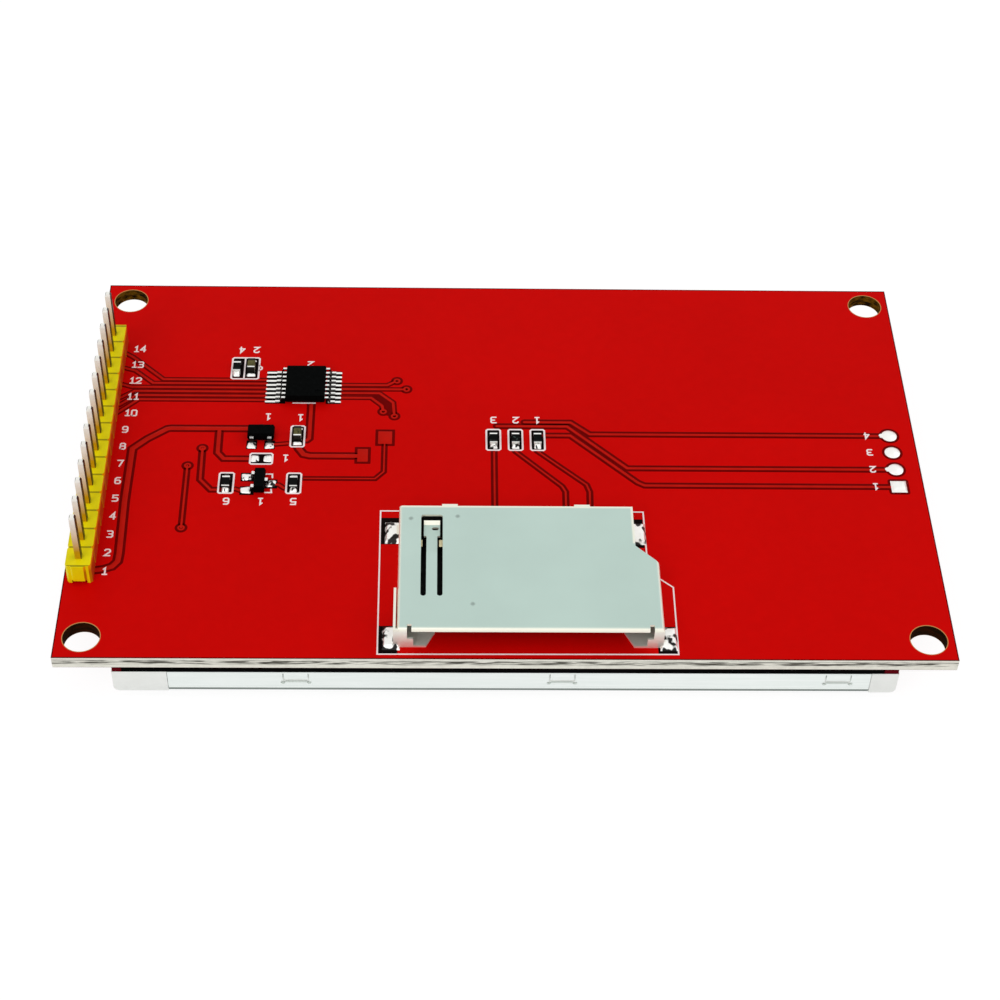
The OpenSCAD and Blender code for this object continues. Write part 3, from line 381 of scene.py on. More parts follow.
def boardFinish():
    material, tree, place = startFinish("redBoard", specular=0.02)
    x, y, z = split(tree, place)
    middle, half = (boardLow.z + boardHigh.z) / 2, (boardHigh.z - boardLow.z) / 2
    level = calc(tree, "/", calc(tree, "-", z, middle), half)      # -1 to 1 through the board
    onFace = calc(tree, ">", calc(tree, "ABSOLUTE", level), 0.965)
    mask = uneven(tree, uneven(tree, board["mask"], 0.03, 60), 0.02, 900)
    wideX, wideY = calc(tree, "ABSOLUTE", x), calc(tree, "ABSOLUTE", y)
    fromEdge = calc(tree, "MINIMUM", calc(tree, "-", boardHigh.x, wideX),
                    calc(tree, "-", boardHigh.y, wideY))
    # painted shade: the mask goes dark in a thin band along the board's outer edge
    edgeShade = calc(tree, "<", fromEdge, board["edgeShadeW"] * mm)
    face = blend(tree, edgeShade, mask, board["edgeShade"])
    # layers of glass cloth: dark streaks along the edge, in a broad band about the middle
    streaks = rolled(tree, (330, 330, 6500), 0.00001)["Mask"]
    dark = ramp(tree, streaks, 0.44, 0.54)
    wavy = calc(tree, "+", level, calc(tree, "MULTIPLY_ADD", streaks, 0.8, -0.4))
    near = band(tree, wavy, -0.2, 0.6, 0.12)
    pale = uneven(tree, board["edge"], 0.06, 1500)
    side = blend(tree, calc(tree, "*", near, dark), pale, board["fibre"])
    # drilled walls: brown with burnt streaks, and painted shade in the two front holes
    fromX = calc(tree, "-", wideX, board["holeX"] * mm)
    fromY = calc(tree, "-", wideY, board["holeY"] * mm)
    away = calc(tree, "SQRT", calc(tree, "+", calc(tree, "*", fromX, fromX),
                                   calc(tree, "*", fromY, fromY)))
    inHole = calc(tree, "<", away, (board["holeR"] + 0.05) * mm)
    burnt = ramp(tree, rolled(tree, (900, 900, 2600), 0.00001)["Mask"], 0.4, 0.6)
    rear = calc(tree, ">", y, 0.0)
    drill = blend(tree, rear, board["frontHoleShade"], board["hole"])
    side = blend(tree, inHole, side, blend(tree, burnt, drill, board["burnt"]))
    onRim = calc(tree, "<", away, (board["holeR"] + board["rimW"]) * mm)
    face = blend(tree, onRim, face, board["rim"])
    dull = calc(tree, "*", calc(tree, "-", 1.0, onFace), 0.5)
    gloss = calc(tree, "+", pickGloss(tree, 0.3, 0.4, 300), dull, clamp=True)
    return endFinish(material, blend(tree, onFace, side, face), gloss, (0.0005, 0.000004))


dress(["circuit_board"], boardFinish())

# Plain surfaces: colour, tone's amount and size, lowest and highest roughness and their noise's
# size, grain's size and depth, and specular level. Some go on with a metallic level, and then a
# speck's colour, with the specks' size and share.
plainSettings = {
    "copperUnderMask": ((196, 24, 14), (0.08, 500), (0.3, 0.4, 300), (0.0003, 0.000002), 0.02),
    "gapUnderMask": ((110, 0, 0), (0.1, 700), (0.4, 0.5, 300), (0.0003, 0.000002), 0.02),
    "laminateAndShadow": ((12, 4, 4), (0.25, 1500), (0.6, 0.8, 600), (0.00012, 0.000004), 0.03),
    "whiteInk": ((255, 240, 240), (0.03, 2500), (0.5, 0.65, 900), (0.00006, 0.000003), 0.3),
    "contactGold": ((222, 210, 168), (0.08, 1500), (0.18, 0.32, 900), ((5200, 400, 5200), 0.000002),
                    0.5, 1.0),
    "blackEpoxy": ((3, 4, 4), (0.3, 3200), (0.6, 0.75, 2200), (0.00007, 0.000006), 0.02, 0.0,
                   (12, 14, 15), (9000, 0.25)),
    "blackPlastic": ((10, 10, 10), (0.2, 1500), (0.5, 0.65, 900), (0.0001, 0.000005), 0.1),
    "resistorGlaze": ((4, 6, 6), (0.3, 3500), (0.35, 0.5, 1500), (0.0001, 0.000004), 0.04, 0.0,
                      (66, 82, 78), (2600, 0.2)),
    "tanCeramic": ((92, 88, 50), (0.4, 2600), (0.35, 0.5, 1500), (0.00009, 0.000005), 0.1, 0.0,
                   (22, 26, 14), (2600, 0.6)),
    "whiteMoulding": ((252, 254, 250), (0.03, 400), (0.34, 0.48, 700), (0.00015, 0.000004), 0.35),
    "whiteFilm": ((240, 241, 240), (0.02, 400), (0.4, 0.5, 700), (0.0001, 0.000002), 0.3),
    "lampYellow": ((232, 218, 110), (0.08, 1500), (0.35, 0.5, 900), (0.0001, 0.000005), 0.35),
    "cavityShadeStrip": ((92, 2, 14), (0.1, 900), (0.6, 0.75, 700), (0.0003, 0.00001), 0.02),
    "blackTape": ((2, 2, 2), (0.3, 1500), (0.8, 0.95, 900), (0.0003, 0.00002), 0.02),
    "darkDie": ((44, 46, 56), (0.1, 900), (0.12, 0.2, 900), (0.0004, 0.000001), 0.5),
}
finishes = {name: plainFinish(name, *settings) for name, settings in plainSettings.items()}
for finish, nodeNames in {
    "contactGold": ["socket_contacts"], "blackPlastic": ["socket_insulator"],
    "blackEpoxy": ["touch_controller_body", "regulator_body", "transistor_body"],
    "resistorGlaze": ["resistor_bodies"], "tanCeramic": ["capacitor_bodies"],
    "whiteMoulding": ["backlight_moulding"], "whiteFilm": ["reflector_sheet", "diffuser_film"],
    "lampYellow": ["backlight_lamps"], "blackTape": ["rim_tape", "touch_tape", "mounting_tape"],
    "darkDie": ["driver_chip"],
}.items():
    dress(nodeNames, finishes[finish])

# Solder and tinned metal: bright on its flat tops, with painted shade on its flanks and dark blotches of
# painted reflection. Flat runs from one share of the upright to another. Bands of painted shade go along an
# axis, between two limits.
# the bright tone is the metal's own; the dark tone is painted shade and painted reflection
tinned = {"bright": (252, 252, 248), "dark": (20, 18, 16), "soft": 0.02}


def tinnedFinish(name, limit, size, flat=(0.35, 0.65), shadeBands=()):
    material, tree, place = startFinish(name, 0.6, 0.5)
    # painted shade: faces that turn away from upright go dark
    level = ramp(tree, calc(tree, "ABSOLUTE", facing(tree)[2]), *flat)
    spared = ramp(tree, addNoise(tree, place, size, 1.5), limit - 0.03, limit + 0.03, 1.0, 0.0)
    paintedShine = calc(tree, "*", level, spared)
    for axis, low, high in shadeBands:
        # painted shade over each band
        dull = band(tree, split(tree, place)[axis], low * mm, high * mm, tinned["soft"] * mm)
        paintedShine = calc(tree, "-", paintedShine, dull, clamp=True)
    bright = uneven(tree, tinned["bright"], 0.04, 1800)
    return endFinish(material, blend(tree, paintedShine, tinned["dark"], bright),
                     (0.28, 0.42, 1500), (0.0004, 0.00001))


finishes["solder"] = tinnedFinish("brightSolder", 0.6, 2000, (0.05, 0.3))
finishes["cleanSolder"] = tinnedFinish("cleanSolder", 0.9, 2600, (0.1, 0.35))
dress(["header_solder", "flex_solder", "card_pad_solder"], finishes["cleanSolder"])
dress(["socket_solder"], tinnedFinish("tabSolder", 0.53, 1100, (0.2, 0.5)))
dress(["touch_controller_leads", "transistor_leads"], tinnedFinish("tinPlate", 0.9, 2600))
# the regulator's top lead lies in a band of painted shade
dress(["regulator_leads"], tinnedFinish("tinPlateFront", 0.9, 2600, shadeBands=[(1, 4.0, 6.0)]))


# End caps of the small parts: a dark plate of painted shade and painted reflection, with lines of painted
# highlight across it. Each line has its two limits from the part's middle, and its brightness.
def capFinish(name, middles, lines, dark):
    material, tree, place = startFinish(name, 0.6, 0.4)
    y = split(tree, place)[1]
    paintedShine = 0.0
    for middle in middles:
        for low, high, level in lines:
            inLine = band(tree, y, (middle + low) * mm, (middle + high) * mm, tinned["soft"] * mm)
            paintedShine = calc(tree, "MULTIPLY_ADD", inLine, level, paintedShine)
    bright = uneven(tree, tinned["bright"], 0.05, 2600)
    return endFinish(material, blend(tree, paintedShine, dark, bright),
                     (0.3, 0.45, 1500), (0.0002, 0.000006))


dress(["resistor_ends"], capFinish("resistorCaps", [13.8, -3.8, 2.85],
                                   [(0.46, 0.64, 1.0), (-0.82, -0.66, 0.85)], (16, 16, 16)))
dress(["capacitor_ends"], capFinish("capacitorCaps", [13.8, 3.2],
                                    [(-0.62, -0.3, 1.0), (0.8, 0.9, 0.5)], (24, 22, 16)))


# Pins of the header: pale plate on the front and back, painted shade on the flanks and a painted shade line
# along one edge, and a deeper yellow towards the insulator
pins = {
    "face": (255, 255, 248), "shadedFlank": (44, 30, 8), "foot": (204, 152, 2), "footZ": (1.0, 6.0), "shadeLineW": 0.07,
}


def pinFinish():
    material, tree, place = startFinish("paleGold", 0.0, 0.3)
    shadedFlank = ramp(tree, calc(tree, "ABSOLUTE", facing(tree)[0]), 0.2, 0.5)
    x, _, z = split(tree, place)
    # painted shade: a dark line along the +x edge of each pin
    edge = calc(tree, ">", x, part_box("header_pins")[1].x - pins["shadeLineW"] * mm)
    shadedFlank = calc(tree, "MAXIMUM", shadedFlank, edge)
    foot = fade(tree, z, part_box("header_insulator")[1].z, pins["footZ"])
    face = blend(tree, foot, pins["face"], pins["foot"])
    colour = blend(tree, shadedFlank, uneven(tree, face, 0.05, 1200), pins["shadedFlank"])
    return endFinish(material, colour, (0.3, 0.45, 900),
                     rolled(tree, (5200, 5200, 240), 0.000002)["Normal"])


dress(["header_pins"], pinFinish())


# Yellow insulator of the header: painted shade on its wall that faces +x, deeper low down, and painted shade
# in the grooves between segments
insulator = {
    "top": (246, 230, 2), "wallHigh": (250, 150, 8), "wallLow": (186, 60, 6), "grooveShade": (120, 112, 8),
    "pitch": 2.54, "grooveW": 0.16, "grooveSoft": 1.8, "grooveShare": 0.75, "deep": (0.25, 0.9),
}


def insulatorFinish():
    material, tree, place = startFinish("yellowPlastic", specular=0.15)
    nx, _, nz = facing(tree)
    _, y, z = split(tree, place)
    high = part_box("header_insulator")[1].z
    along = calc(tree, "FRACT", calc(tree, "/", y, insulator["pitch"] * mm))
    share = insulator["grooveW"] / insulator["pitch"] / 2
    # segments meet at whole pitches from the middle, as the number of pins is even
    apart = calc(tree, "MINIMUM", along, calc(tree, "-", 1.0, along))
    # painted shade in the grooves on the top
    grooveShade = calc(tree, "*", ramp(tree, apart, share, share * insulator["grooveSoft"],
                                  insulator["grooveShare"], 0.0), calc(tree, ">", nz, 0.6))
    top = blend(tree, grooveShade, uneven(tree, insulator["top"], 0.05, 700),
                insulator["grooveShade"])
    # painted shade: the wall facing +x takes a deeper orange, darker still low down
    shadedWall = ramp(tree, nx, 0.4, 0.8)
    deep = ramp(tree, z, *[high - depth * mm for depth in insulator["deep"]])
    shadedSideTone = blend(tree, deep, insulator["wallHigh"], insulator["wallLow"])
    return endFinish(material, blend(tree, shadedWall, top, shadedSideTone), (0.4, 0.55, 900),
                     (0.00012, 0.000004))


dress(["header_insulator"], insulatorFinish())


# Nickelled sheet: soft roll marks, a slow tint, painted highlights on its edges and folds, painted shade
# inside the folds, and pressed dimples with painted shade
shell = {
    "colour": (190, 212, 203), "edge": (248, 246, 230), "fold": (246, 246, 236), "inside": (112, 110, 98),
    "left": -10.9, "right": 13.1, "rightFront": 15.4, "back": -9.52, "step": -14.6, "sheet": 0.42,
    "foldY": 3.5, "brightY": (0.8, 2.4), "brightZ": (0.3, 1.6), "rim": (0.14, 0.3), "rimShare": 0.85,
    "dimpleShade": (110, 120, 116), "dimpleR": (0.12, 0.3), "dimpleShare": 0.55, "dimpleDepth": 0.06,
    "dimples": [(-9.68, -11.27), (-4.92, -10.95), (-3.45, -22.74)],
}


def shellFinish():
    material, tree, place = startFinish("nickelSheet", metallic=0.6, specular=0.4)
    low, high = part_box("socket_shell")
    marks = rolled(tree, (260, 4200, 4200), 0.0000012)
    tinted = uneven(tree, shell["colour"], 0.03, 110)
    x, y, z = split(tree, place)
    # painted light on the folded corners and their feet: a painted highlight in front and painted shade
    # inside
    front = calc(tree, "MAXIMUM", fade(tree, y, low.y, shell["brightY"]),
                 fade(tree, z, low.z, shell["brightZ"]))
    below = calc(tree, "*", calc(tree, "<", z, high.z - shell["sheet"] * mm),
                 calc(tree, "<", y, low.y + shell["foldY"] * mm))
    folded = blend(tree, front, shell["inside"], shell["fold"])
    colour = blend(tree, below, tinted, folded)
    # painted highlight on the upright rims of the top sheet and the bend along the front
    upright = ramp(tree, calc(tree, "ABSOLUTE", facing(tree)[2]), 0.995, 0.75)
    rightX = calc(tree, "MULTIPLY_ADD", calc(tree, "<", y, shell["step"] * mm),
                  (shell["rightFront"] - shell["right"]) * mm, shell["right"] * mm)
    inX = calc(tree, "MINIMUM", calc(tree, "-", x, shell["left"] * mm),
               calc(tree, "-", rightX, x))
    inY = calc(tree, "-", shell["back"] * mm, y)
    outer = fade(tree, calc(tree, "MINIMUM", inX, inY), 0, shell["rim"], shell["rimShare"])
    rim = calc(tree, "*", calc(tree, "MAXIMUM", upright, outer), calc(tree, "-", 1.0, below))
    colour = blend(tree, rim, colour, shell["edge"])
    pits = 0.0
    for dimpleX, dimpleY in shell["dimples"]:
        spot = addNode(tree, "ShaderNodeCombineXYZ", {0: dimpleX * mm, 1: dimpleY * mm, 2: high.z}).outputs[0]
        gap = addNode(tree, "ShaderNodeVectorMath", {0: place, 1: spot}, operation="DISTANCE")
        pits = calc(tree, "+", fade(tree, gap.outputs["Value"], 0, shell["dimpleR"]), pits)
    # painted shade in the three pressed dimples
    shaded = calc(tree, "*", pits, shell["dimpleShare"], clamp=True)
    colour = blend(tree, shaded, colour, shell["dimpleShade"])
    pressed = lift(tree, calc(tree, "*", pits, -shell["dimpleDepth"] * mm), Normal=marks["Normal"])
    return endFinish(material, colour, (0.34, 0.44, 160), pressed)


dress(["socket_shell"], shellFinish())


# Tinned frame sheet: brushed along the display, with a band of painted shade along the foot of its walls
sheet = {"streak": (226, 234, 230), "colour": (246, 250, 248), "footShade": (128, 136, 132), "footShadeZ": 0.3}


def frameFinish():
    material, tree, place = startFinish("frameSheet", metallic=0.75, specular=0.4)
    marks = rolled(tree, (160, 3600, 3600), 0.0000014)
    streaked = blend(tree, marks["Mask"], sheet["streak"], sheet["colour"])
    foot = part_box("display_frame")[0].z
    footShade = calc(tree, "*", calc(tree, "<", split(tree, place)[2], foot + sheet["footShadeZ"] * mm),
                calc(tree, "<", calc(tree, "ABSOLUTE", facing(tree)[2]), 0.9))
    colour = blend(tree, footShade, uneven(tree, streaked, 0.02, 90), sheet["footShade"])
    return endFinish(material, colour, (0.3, 0.42, 200), marks["Normal"])


dress(["display_frame"], frameFinish())


# Amber film with copper lines that run the length of the tail, side by side along y. Each line
# takes up a part of the pitch.
flex = {"film": (206, 128, 40), "copper": (172, 88, 24), "share": 0.75, "line": (0.3, 0.72), "thick": 0.012}


def flexFinish(name, pitch):
    material, tree, place = startFinish(name, specular=0.4)
    ripple = calc(tree, "FRACT", calc(tree, "/", split(tree, place)[1], pitch * mm))
    copper = band(tree, ripple, *flex["line"], 0.05)
    film = uneven(tree, flex["film"], 0.07, 260)
    colour = blend(tree, calc(tree, "*", copper, flex["share"]), film, flex["copper"])
    return endFinish(material, colour, (0.22, 0.36, 300),
                     lift(tree, calc(tree, "*", copper, flex["thick"] * mm)))


dress(["display_flex"], flexFinish("amberDisplayTail", 0.6))
dress(["touch_flex", "lamp_flex"], flexFinish("amberSmallTail", 1.0))


# Clear layers: see-through by a share, with a faint tint and a fine ripple
def clearFinish(name, tint, share, rough, marks=((90, 90, 90), 0.000002)):
    material, tree, _ = startFinish(name, alpha=share)
    colour = uneven(tree, tint, 0.02, 120)
    gloss = (rough, rough + 0.06, 200)
    return endFinish(material, colour, gloss, rolled(tree, *marks)["Normal"])


dress(["touch_glass", "filter_glass", "tft_glass"], clearFinish("thinGlass", (52, 66, 62), 0.25, 0.04))
dress(["touch_film"], clearFinish("hardCoatedFilm", (74, 80, 82), 0.16, 0.06))
dress(["light_guide"], clearFinish("clearGuide", (230, 240, 244), 0.35, 0.06))
dress(["lower_prism_film", "upper_prism_film"],
      clearFinish("ribbedFilm", (222, 230, 234), 0.5, 0.25, ((20000, 60, 60), 0.00001)))


# Dark film of the display: a black margin round a slightly paler active area
polariser = {
    "rim": (9, 9, 10), "active": (38, 42, 47), "left": 2.4, "right": 1.6, "ends": 1.5, "soft": 0.02,
}


def polariserFinish():
    material, tree, place = startFinish("darkPolariser")
    low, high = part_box("front_polariser")
    x, y, _ = split(tree, place)
    soft, ends = polariser["soft"] * mm, polariser["ends"] * mm
    across = band(tree, x, low.x + polariser["left"] * mm, high.x - polariser["right"] * mm, soft)
    active = calc(tree, "*", across, band(tree, y, low.y + ends, high.y - ends, soft))
    film = uneven(tree, blend(tree, active, polariser["rim"], polariser["active"]), 0.06, 40)
    return endFinish(material, film, (0.1, 0.16, 200), (0.002, 0.000002))


dress(["front_polariser", "rear_polariser"], polariserFinish())


# Margin of the touch panel: pale adhesive with two silver lines that follow its edges
margin = {
    "pale": (216, 220, 216), "silver": (158, 160, 158), "lines": [(0.5, 0.85), (1.25, 1.6)], "soft": 0.03,
}


def spacerFinish():
    material, tree, place = startFinish("touchMargin", specular=0.4)
    low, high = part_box("touch_spacer")
    apart = vectorCalc(tree, "ABSOLUTE", vectorCalc(tree, "SUBTRACT", place, (low + high) / 2))
    x, y, _ = split(tree, vectorCalc(tree, "SUBTRACT", (high - low) / 2, apart))
    inward = calc(tree, "MINIMUM", x, y)
    outer, inner = [band(tree, inward, start * mm, end * mm, margin["soft"] * mm)
                    for start, end in margin["lines"]]
    pale = uneven(tree, margin["pale"], 0.03, 300)
    colour = blend(tree, calc(tree, "+", outer, inner, clamp=True), pale, margin["silver"])
    return endFinish(material, colour, (0.3, 0.42, 400), (0.0003, 0.000003))


dress(["touch_spacer"], spacerFinish())
print("finishes:", len(bpy.data.materials))

# Conductors under the mask, in mm from the board's middle. Each path has the copper's width, the
# gap's width beside it and its points. Each dark stretch has a width and its points.
tracks = {
    "gapHeight": 0.012, "height": 0.028, "viaR": 0.4, "viaHole": 0.16, "viaGap": 0.26, "ringW": 0.26,
    "padGap": 0.3, "ringCorner": 0.3,
    "paths": [
        (0.32, 0.2, [(-25.9, 11.95), (-37.2, 11.95), (-40.9, 15.5), (-42.2, 16.4)]),
        (0.32, 0.2, [(-25.9, 11.36), (-38.3, 11.36), (-40.4, 13.3), (-42.2, 13.9)]),
        (0.32, 0.2, [(-25.9, 10.72), (-40.6, 10.72), (-42.2, 11.3)]),
        (0.32, 0.2, [(-25.9, 10.08), (-40.2, 10.08), (-41.6, 9.0), (-42.2, 8.9)]),
        (0.32, 0.2, [(-25.9, 9.43), (-39.9, 9.43), (-41.7, 7.8)]),
        (0.32, 0.2, [(-25.9, 8.78), (-39.6, 8.78), (-41.9, 6.5)]),
        (0.32, 0.2, [(-17.5, 11.23), (-12.6, 11.23), (-11.9, 11.7)]),
        (0.32, 0.2, [(-17.5, 10.58), (-10.7, 10.58)]),
        (0.32, 0.2, [(-17.5, 9.95), (-13.4, 9.95), (-11.9, 8.5), (-11.75, 6.6)]),
        (0.32, 0.2, [(-17.5, 9.22), (-14.3, 9.22), (-13.1, 8.0), (-12.96, 7.3)]),
        (0.42, 0.27, [(-20.8, 8.3), (-20.8, 2.9), (-21.05, 2.6)]),
        (0.58, 0.27, [(-21.9, 1.45), (-21.3, 0.5), (-20.6, 0.3), (-15.0, 0.3)]),
        (0.18, 0.26, [(-12.7, 2.4), (-12.7, -2.0), (-13.6, -3.05), (-21.1, -3.05)]),
        (0.6, 0.27, [(-42.2, -16.2), (-40.8, -15.95), (-39.95, -15.6), (-39.45, -14.9), (-39.4, -13.8),
                     (-39.6, -6.3), (-39.55, 1.2), (-38.1, 2.7), (-36.1, 4.25), (-35.7, 4.33),
                     (-27.5, 4.33)]),
        (0.45, 0.27, [(-30.5, 4.0), (-30.45, 0.7), (-29.75, -0.2), (-27.1, -0.2)]),
        (0.3, 0.28, [(-32.1, 1.3), (-32.0, -3.3), (-30.8, -4.77), (-30.0, -4.77)]),
        (0.24, 0.26, [(-33.5, -1.3), (-33.42, -10.2)]),
        (0.34, 0.28, [(2.4, 5.58), (7.4, 5.58), (9.4, 3.79), (41.0, 3.79)]),
        (0.34, 0.28, [(-0.6, 4.95), (7.0, 4.95), (13.2, -1.3), (41.0, -1.3)]),
        (0.34, 0.28, [(4.65, 3.57), (7.3, 3.57), (14.2, -3.4), (14.9, -3.82), (41.0, -3.85)]),
        (0.22, 0.27, [(-0.95, 1.1), (-1.0, -9.0)]),
        (0.22, 0.27, [(1.3, 1.15), (6.15, -4.0), (6.5, -4.8), (6.45, -9.0)]),
        (0.22, 0.27, [(3.65, 1.2), (5.85, -0.95), (8.75, -3.75), (9.05, -4.8), (8.95, -9.0)]),
        (0.32, 0.2, [(-28.3, -4.6), (-27.6, -4.9), (-27.1, -4.9)]),
        (0.32, 0.2, [(-24.6, -3.9), (-23.7, -4.0), (-23.1, -4.5)]),
        (0.32, 0.2, [(-22.95, 2.15), (-25.0, 1.9)]),
    ],
    "vias": [(-11.53, 11.91), (-10.47, 10.6), (-11.72, 6.39), (-12.94, 7.08), (-32.11, 1.33),
             (-33.48, -1.28), (-33.42, -10.21)],
    "squarePads": [((-15.0, 0.4), (1.72, 2.5)), ((-12.66, 3.08), (2.1, 2.5))],
    "darkStretches": [(0.9, [(-13.75, 9.6), (-12.5, 8.3), (-12.4, 6.9)])],
}


# The card header's pads: their middle across the board, their middles along it and their radius
def cardPads():
    low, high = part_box("card_pad_solder")
    radius = (high.x - low.x) / 2 / mm
    return (low.x + high.x) / 2 / mm, np.linspace(low.y / mm + radius, high.y / mm - radius, 4), radius


# Tops that meet are kept at slightly different heights
def addTracks():
    base, high, gapR = tracks["gapHeight"], tracks["height"], tracks["viaR"] + tracks["viaGap"]
    dark = [line(path, width + 2 * gap, base) for width, gap, path in tracks["paths"]]
    dark += [plate(at, (2 * gapR, 2 * gapR), base, corner=gapR, steps=6) for at in tracks["vias"]]
    dark += [plate(at, size, base, corner=0.08) for at, size in tracks["squarePads"]]
    dark += [line(path, width, base * 1.1) for width, path in tracks["darkStretches"]]
    bright = [line(path, width, high * (1 - 0.1 * (index % 3)))
              for index, (width, _, path) in enumerate(tracks["paths"])]
    bright += [washer(at, tracks["viaHole"], tracks["viaR"], high * 1.1) for at in tracks["vias"]]
    bright += [plate(at, (wide - 2 * tracks["padGap"], deep - 2 * tracks["padGap"]), high * 1.1, corner=0.06)
               for at, (wide, deep) in tracks["squarePads"]]
    padX, padRow, padR = cardPads()
    ring = 2 * (padR + tracks["ringW"])
    dark += [plate((padX, padRow[0]), (ring, ring), base * 1.2, corner=tracks["ringCorner"])]
    dark += [plate((padX, y), (ring, ring), base * 1.2, corner=ring / 2 - 0.01, steps=8) for y in padRow[1:]]
    addPiece("track_gaps", dark, finishes["gapUnderMask"])
    addPiece("track_copper", bright, finishes["copperUnderMask"])


addTracks()
print("tracks:", len(tracks["paths"]))

# White print: part outlines, the socket's outline, and plain numbers
ink = {
    "height": 0.02, "base": 0.012, "boxLine": 0.2, "boxCorner": 0.15, "markLine": 0.18, "socketLine": 0.16,
    "stroke": 0.18,
    "boxes": [(-29.8, 12.08, -26.82, 15.47), (-22.79, 1.62, -21.33, 4.77), (-26.94, -0.99, -24.58, 0.59),
              (-30.0, -5.26, -28.48, -2.31), (-22.89, -5.25, -21.39, -2.32), (-1.76, 1.3, -0.26, 4.42),
              (0.62, 1.3, 2.12, 4.42), (3.0, 1.3, 4.5, 4.42)],
    "lines": [[(-26.8, 14.2), (-26.5, 13.95), (-26.5, 13.7), (-26.8, 13.45)], [(-28.4, 12.2), (-28.4, 15.35)],
              [(-22.8, 8.33), (-20.4, 8.33)], [(-25.15, -2.47), (-24.45, -2.47), (-24.42, -3.0)],
              [(-25.07, -5.15), (-24.41, -5.15), (-24.47, -4.69)]],
    "socket": [(-11.0, -7.7), (-12.9, -7.7), (-12.82, -26.93), (16.88, -26.85), (16.95, -18.1), (15.6, -16.9),
               (14.52, -13.7), (14.5, -7.68), (13.2, -7.68)],
}

# Strokes of the plain numbers, in a cell 0.62 wide and 1 high
figures = {
    "0": [[(0.12, 0), (0.5, 0), (0.62, 0.14), (0.62, 0.86), (0.5, 1), (0.12, 1), (0, 0.86), (0, 0.14),
           (0.12, 0)]],
    "1": [[(0.14, 0.8), (0.34, 1), (0.34, 0)], [(0.1, 0), (0.56, 0)]],
    "2": [[(0, 0.84), (0.14, 1), (0.48, 1), (0.62, 0.86), (0.62, 0.62), (0, 0), (0.62, 0)]],
    "3": [[(0, 1), (0.5, 1), (0.62, 0.86), (0.62, 0.64), (0.5, 0.52), (0.2, 0.52)],
          [(0.5, 0.52), (0.62, 0.38), (0.62, 0.14), (0.5, 0), (0, 0)]],
    "4": [[(0.48, 0), (0.48, 1), (0, 0.32)], [(0, 0.32), (0.62, 0.32)]],
    "5": [[(0.6, 1), (0.04, 1), (0.02, 0.56), (0.48, 0.58), (0.62, 0.44), (0.62, 0.14), (0.48, 0), (0, 0)]],
    "6": [[(0.56, 1), (0.16, 1), (0, 0.8), (0, 0.14), (0.13, 0), (0.49, 0)],
          [(0.49, 0), (0.62, 0.14), (0.62, 0.42), (0.49, 0.56), (0.02, 0.56)]],
    "7": [[(0, 1), (0.62, 1), (0.24, 0)]],
    "8": [[(0.13, 0), (0.49, 0), (0.62, 0.13), (0.62, 0.4), (0.5, 0.52), (0.12, 0.52), (0, 0.4), (0, 0.13),
           (0.13, 0)],
          [(0.12, 0.52), (0.02, 0.64), (0.02, 0.88), (0.14, 1), (0.48, 1), (0.6, 0.88), (0.6, 0.64),
           (0.5, 0.52)]],
    "9": [[(0.06, 0), (0.46, 0), (0.62, 0.2), (0.62, 0.86), (0.49, 1), (0.13, 1)],
          [(0.13, 1), (0, 0.86), (0, 0.58), (0.13, 0.44), (0.6, 0.44)]],
}

# The numbers beside the header's pins, beside the card header's pads and over the parts
labels = {
    "step": 0.84, "pinCount": 14, "pinHeight": 0.85, "fromWall": 0.75, "underPin": 0.15,
    "padHeight": 0.8, "fromPad": 1.35, "overPad": 0.42, "height": 0.84,
    "overParts": [("4", (-28.6, 17.2)), ("2", (-27.0, 17.2)), ("2", (-20.9, 14.9)), ("1", (-25.1, 6.6)),
                  ("1", (-21.6, 6.5)), ("1", (-22.9, 0.35)), ("6", (-28.8, -6.0)), ("1", (-25.2, -6.0)),
                  ("5", (-21.8, -6.0)), ("3", (-0.7, 6.3)), ("2", (1.7, 6.3)), ("1", (4.05, 6.3))],
}


# A number's strokes at a place: each figure is moved along by a step of its height, and the whole
# may be turned half way round. Strokes that meet are kept at slightly different heights.
def number(text, at, height, turn=1):
    return [line(np.array(at) + turn * height * (np.array(stroke) + (labels["step"] * place, 0)),
                 ink["stroke"], ink["height"] * (1 + 0.1 * order), ink["base"])
            for place, figure in enumerate(text) for order, stroke in enumerate(figures[figure])]


def numberShapes():
    low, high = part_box("header_pins")
    wallX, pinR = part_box("header_insulator")[1].x / mm, (high.x - low.x) / 2 / mm
    pinRow = np.linspace(high.y / mm - pinR, low.y / mm + pinR, labels["pinCount"])
    shapes = []
    for count, y in zip(range(labels["pinCount"], 0, -1), pinRow):
        at = (wallX + labels["fromWall"], y - labels["underPin"])
        shapes += number(str(count), at, labels["pinHeight"])
    padX, padRow, padR = cardPads()
    for text, y in zip("4321", padRow[::-1]):
        at = (padX - padR - labels["fromPad"], y + labels["overPad"])
        shapes += number(text, at, labels["padHeight"], -1)
    for text, at in labels["overParts"]:
        shapes += number(text, at, labels["height"], -1)
    return shapes


def addInk():
    shapes = [line(outline((x1 - x0, y1 - y0), ink["boxCorner"], 1) + np.array([x0 + x1, y0 + y1]) / 2,
                   ink["boxLine"], ink["height"], ink["base"], True)
              for x0, y0, x1, y1 in ink["boxes"]]
    shapes += [line(path, ink["markLine"], ink["height"], ink["base"]) for path in ink["lines"]]
    shapes += [line(ink["socket"], ink["socketLine"], ink["height"], ink["base"])]
    addPiece("white_print", shapes + numberShapes(), finishes["whiteInk"])


addInk()
print("print done")

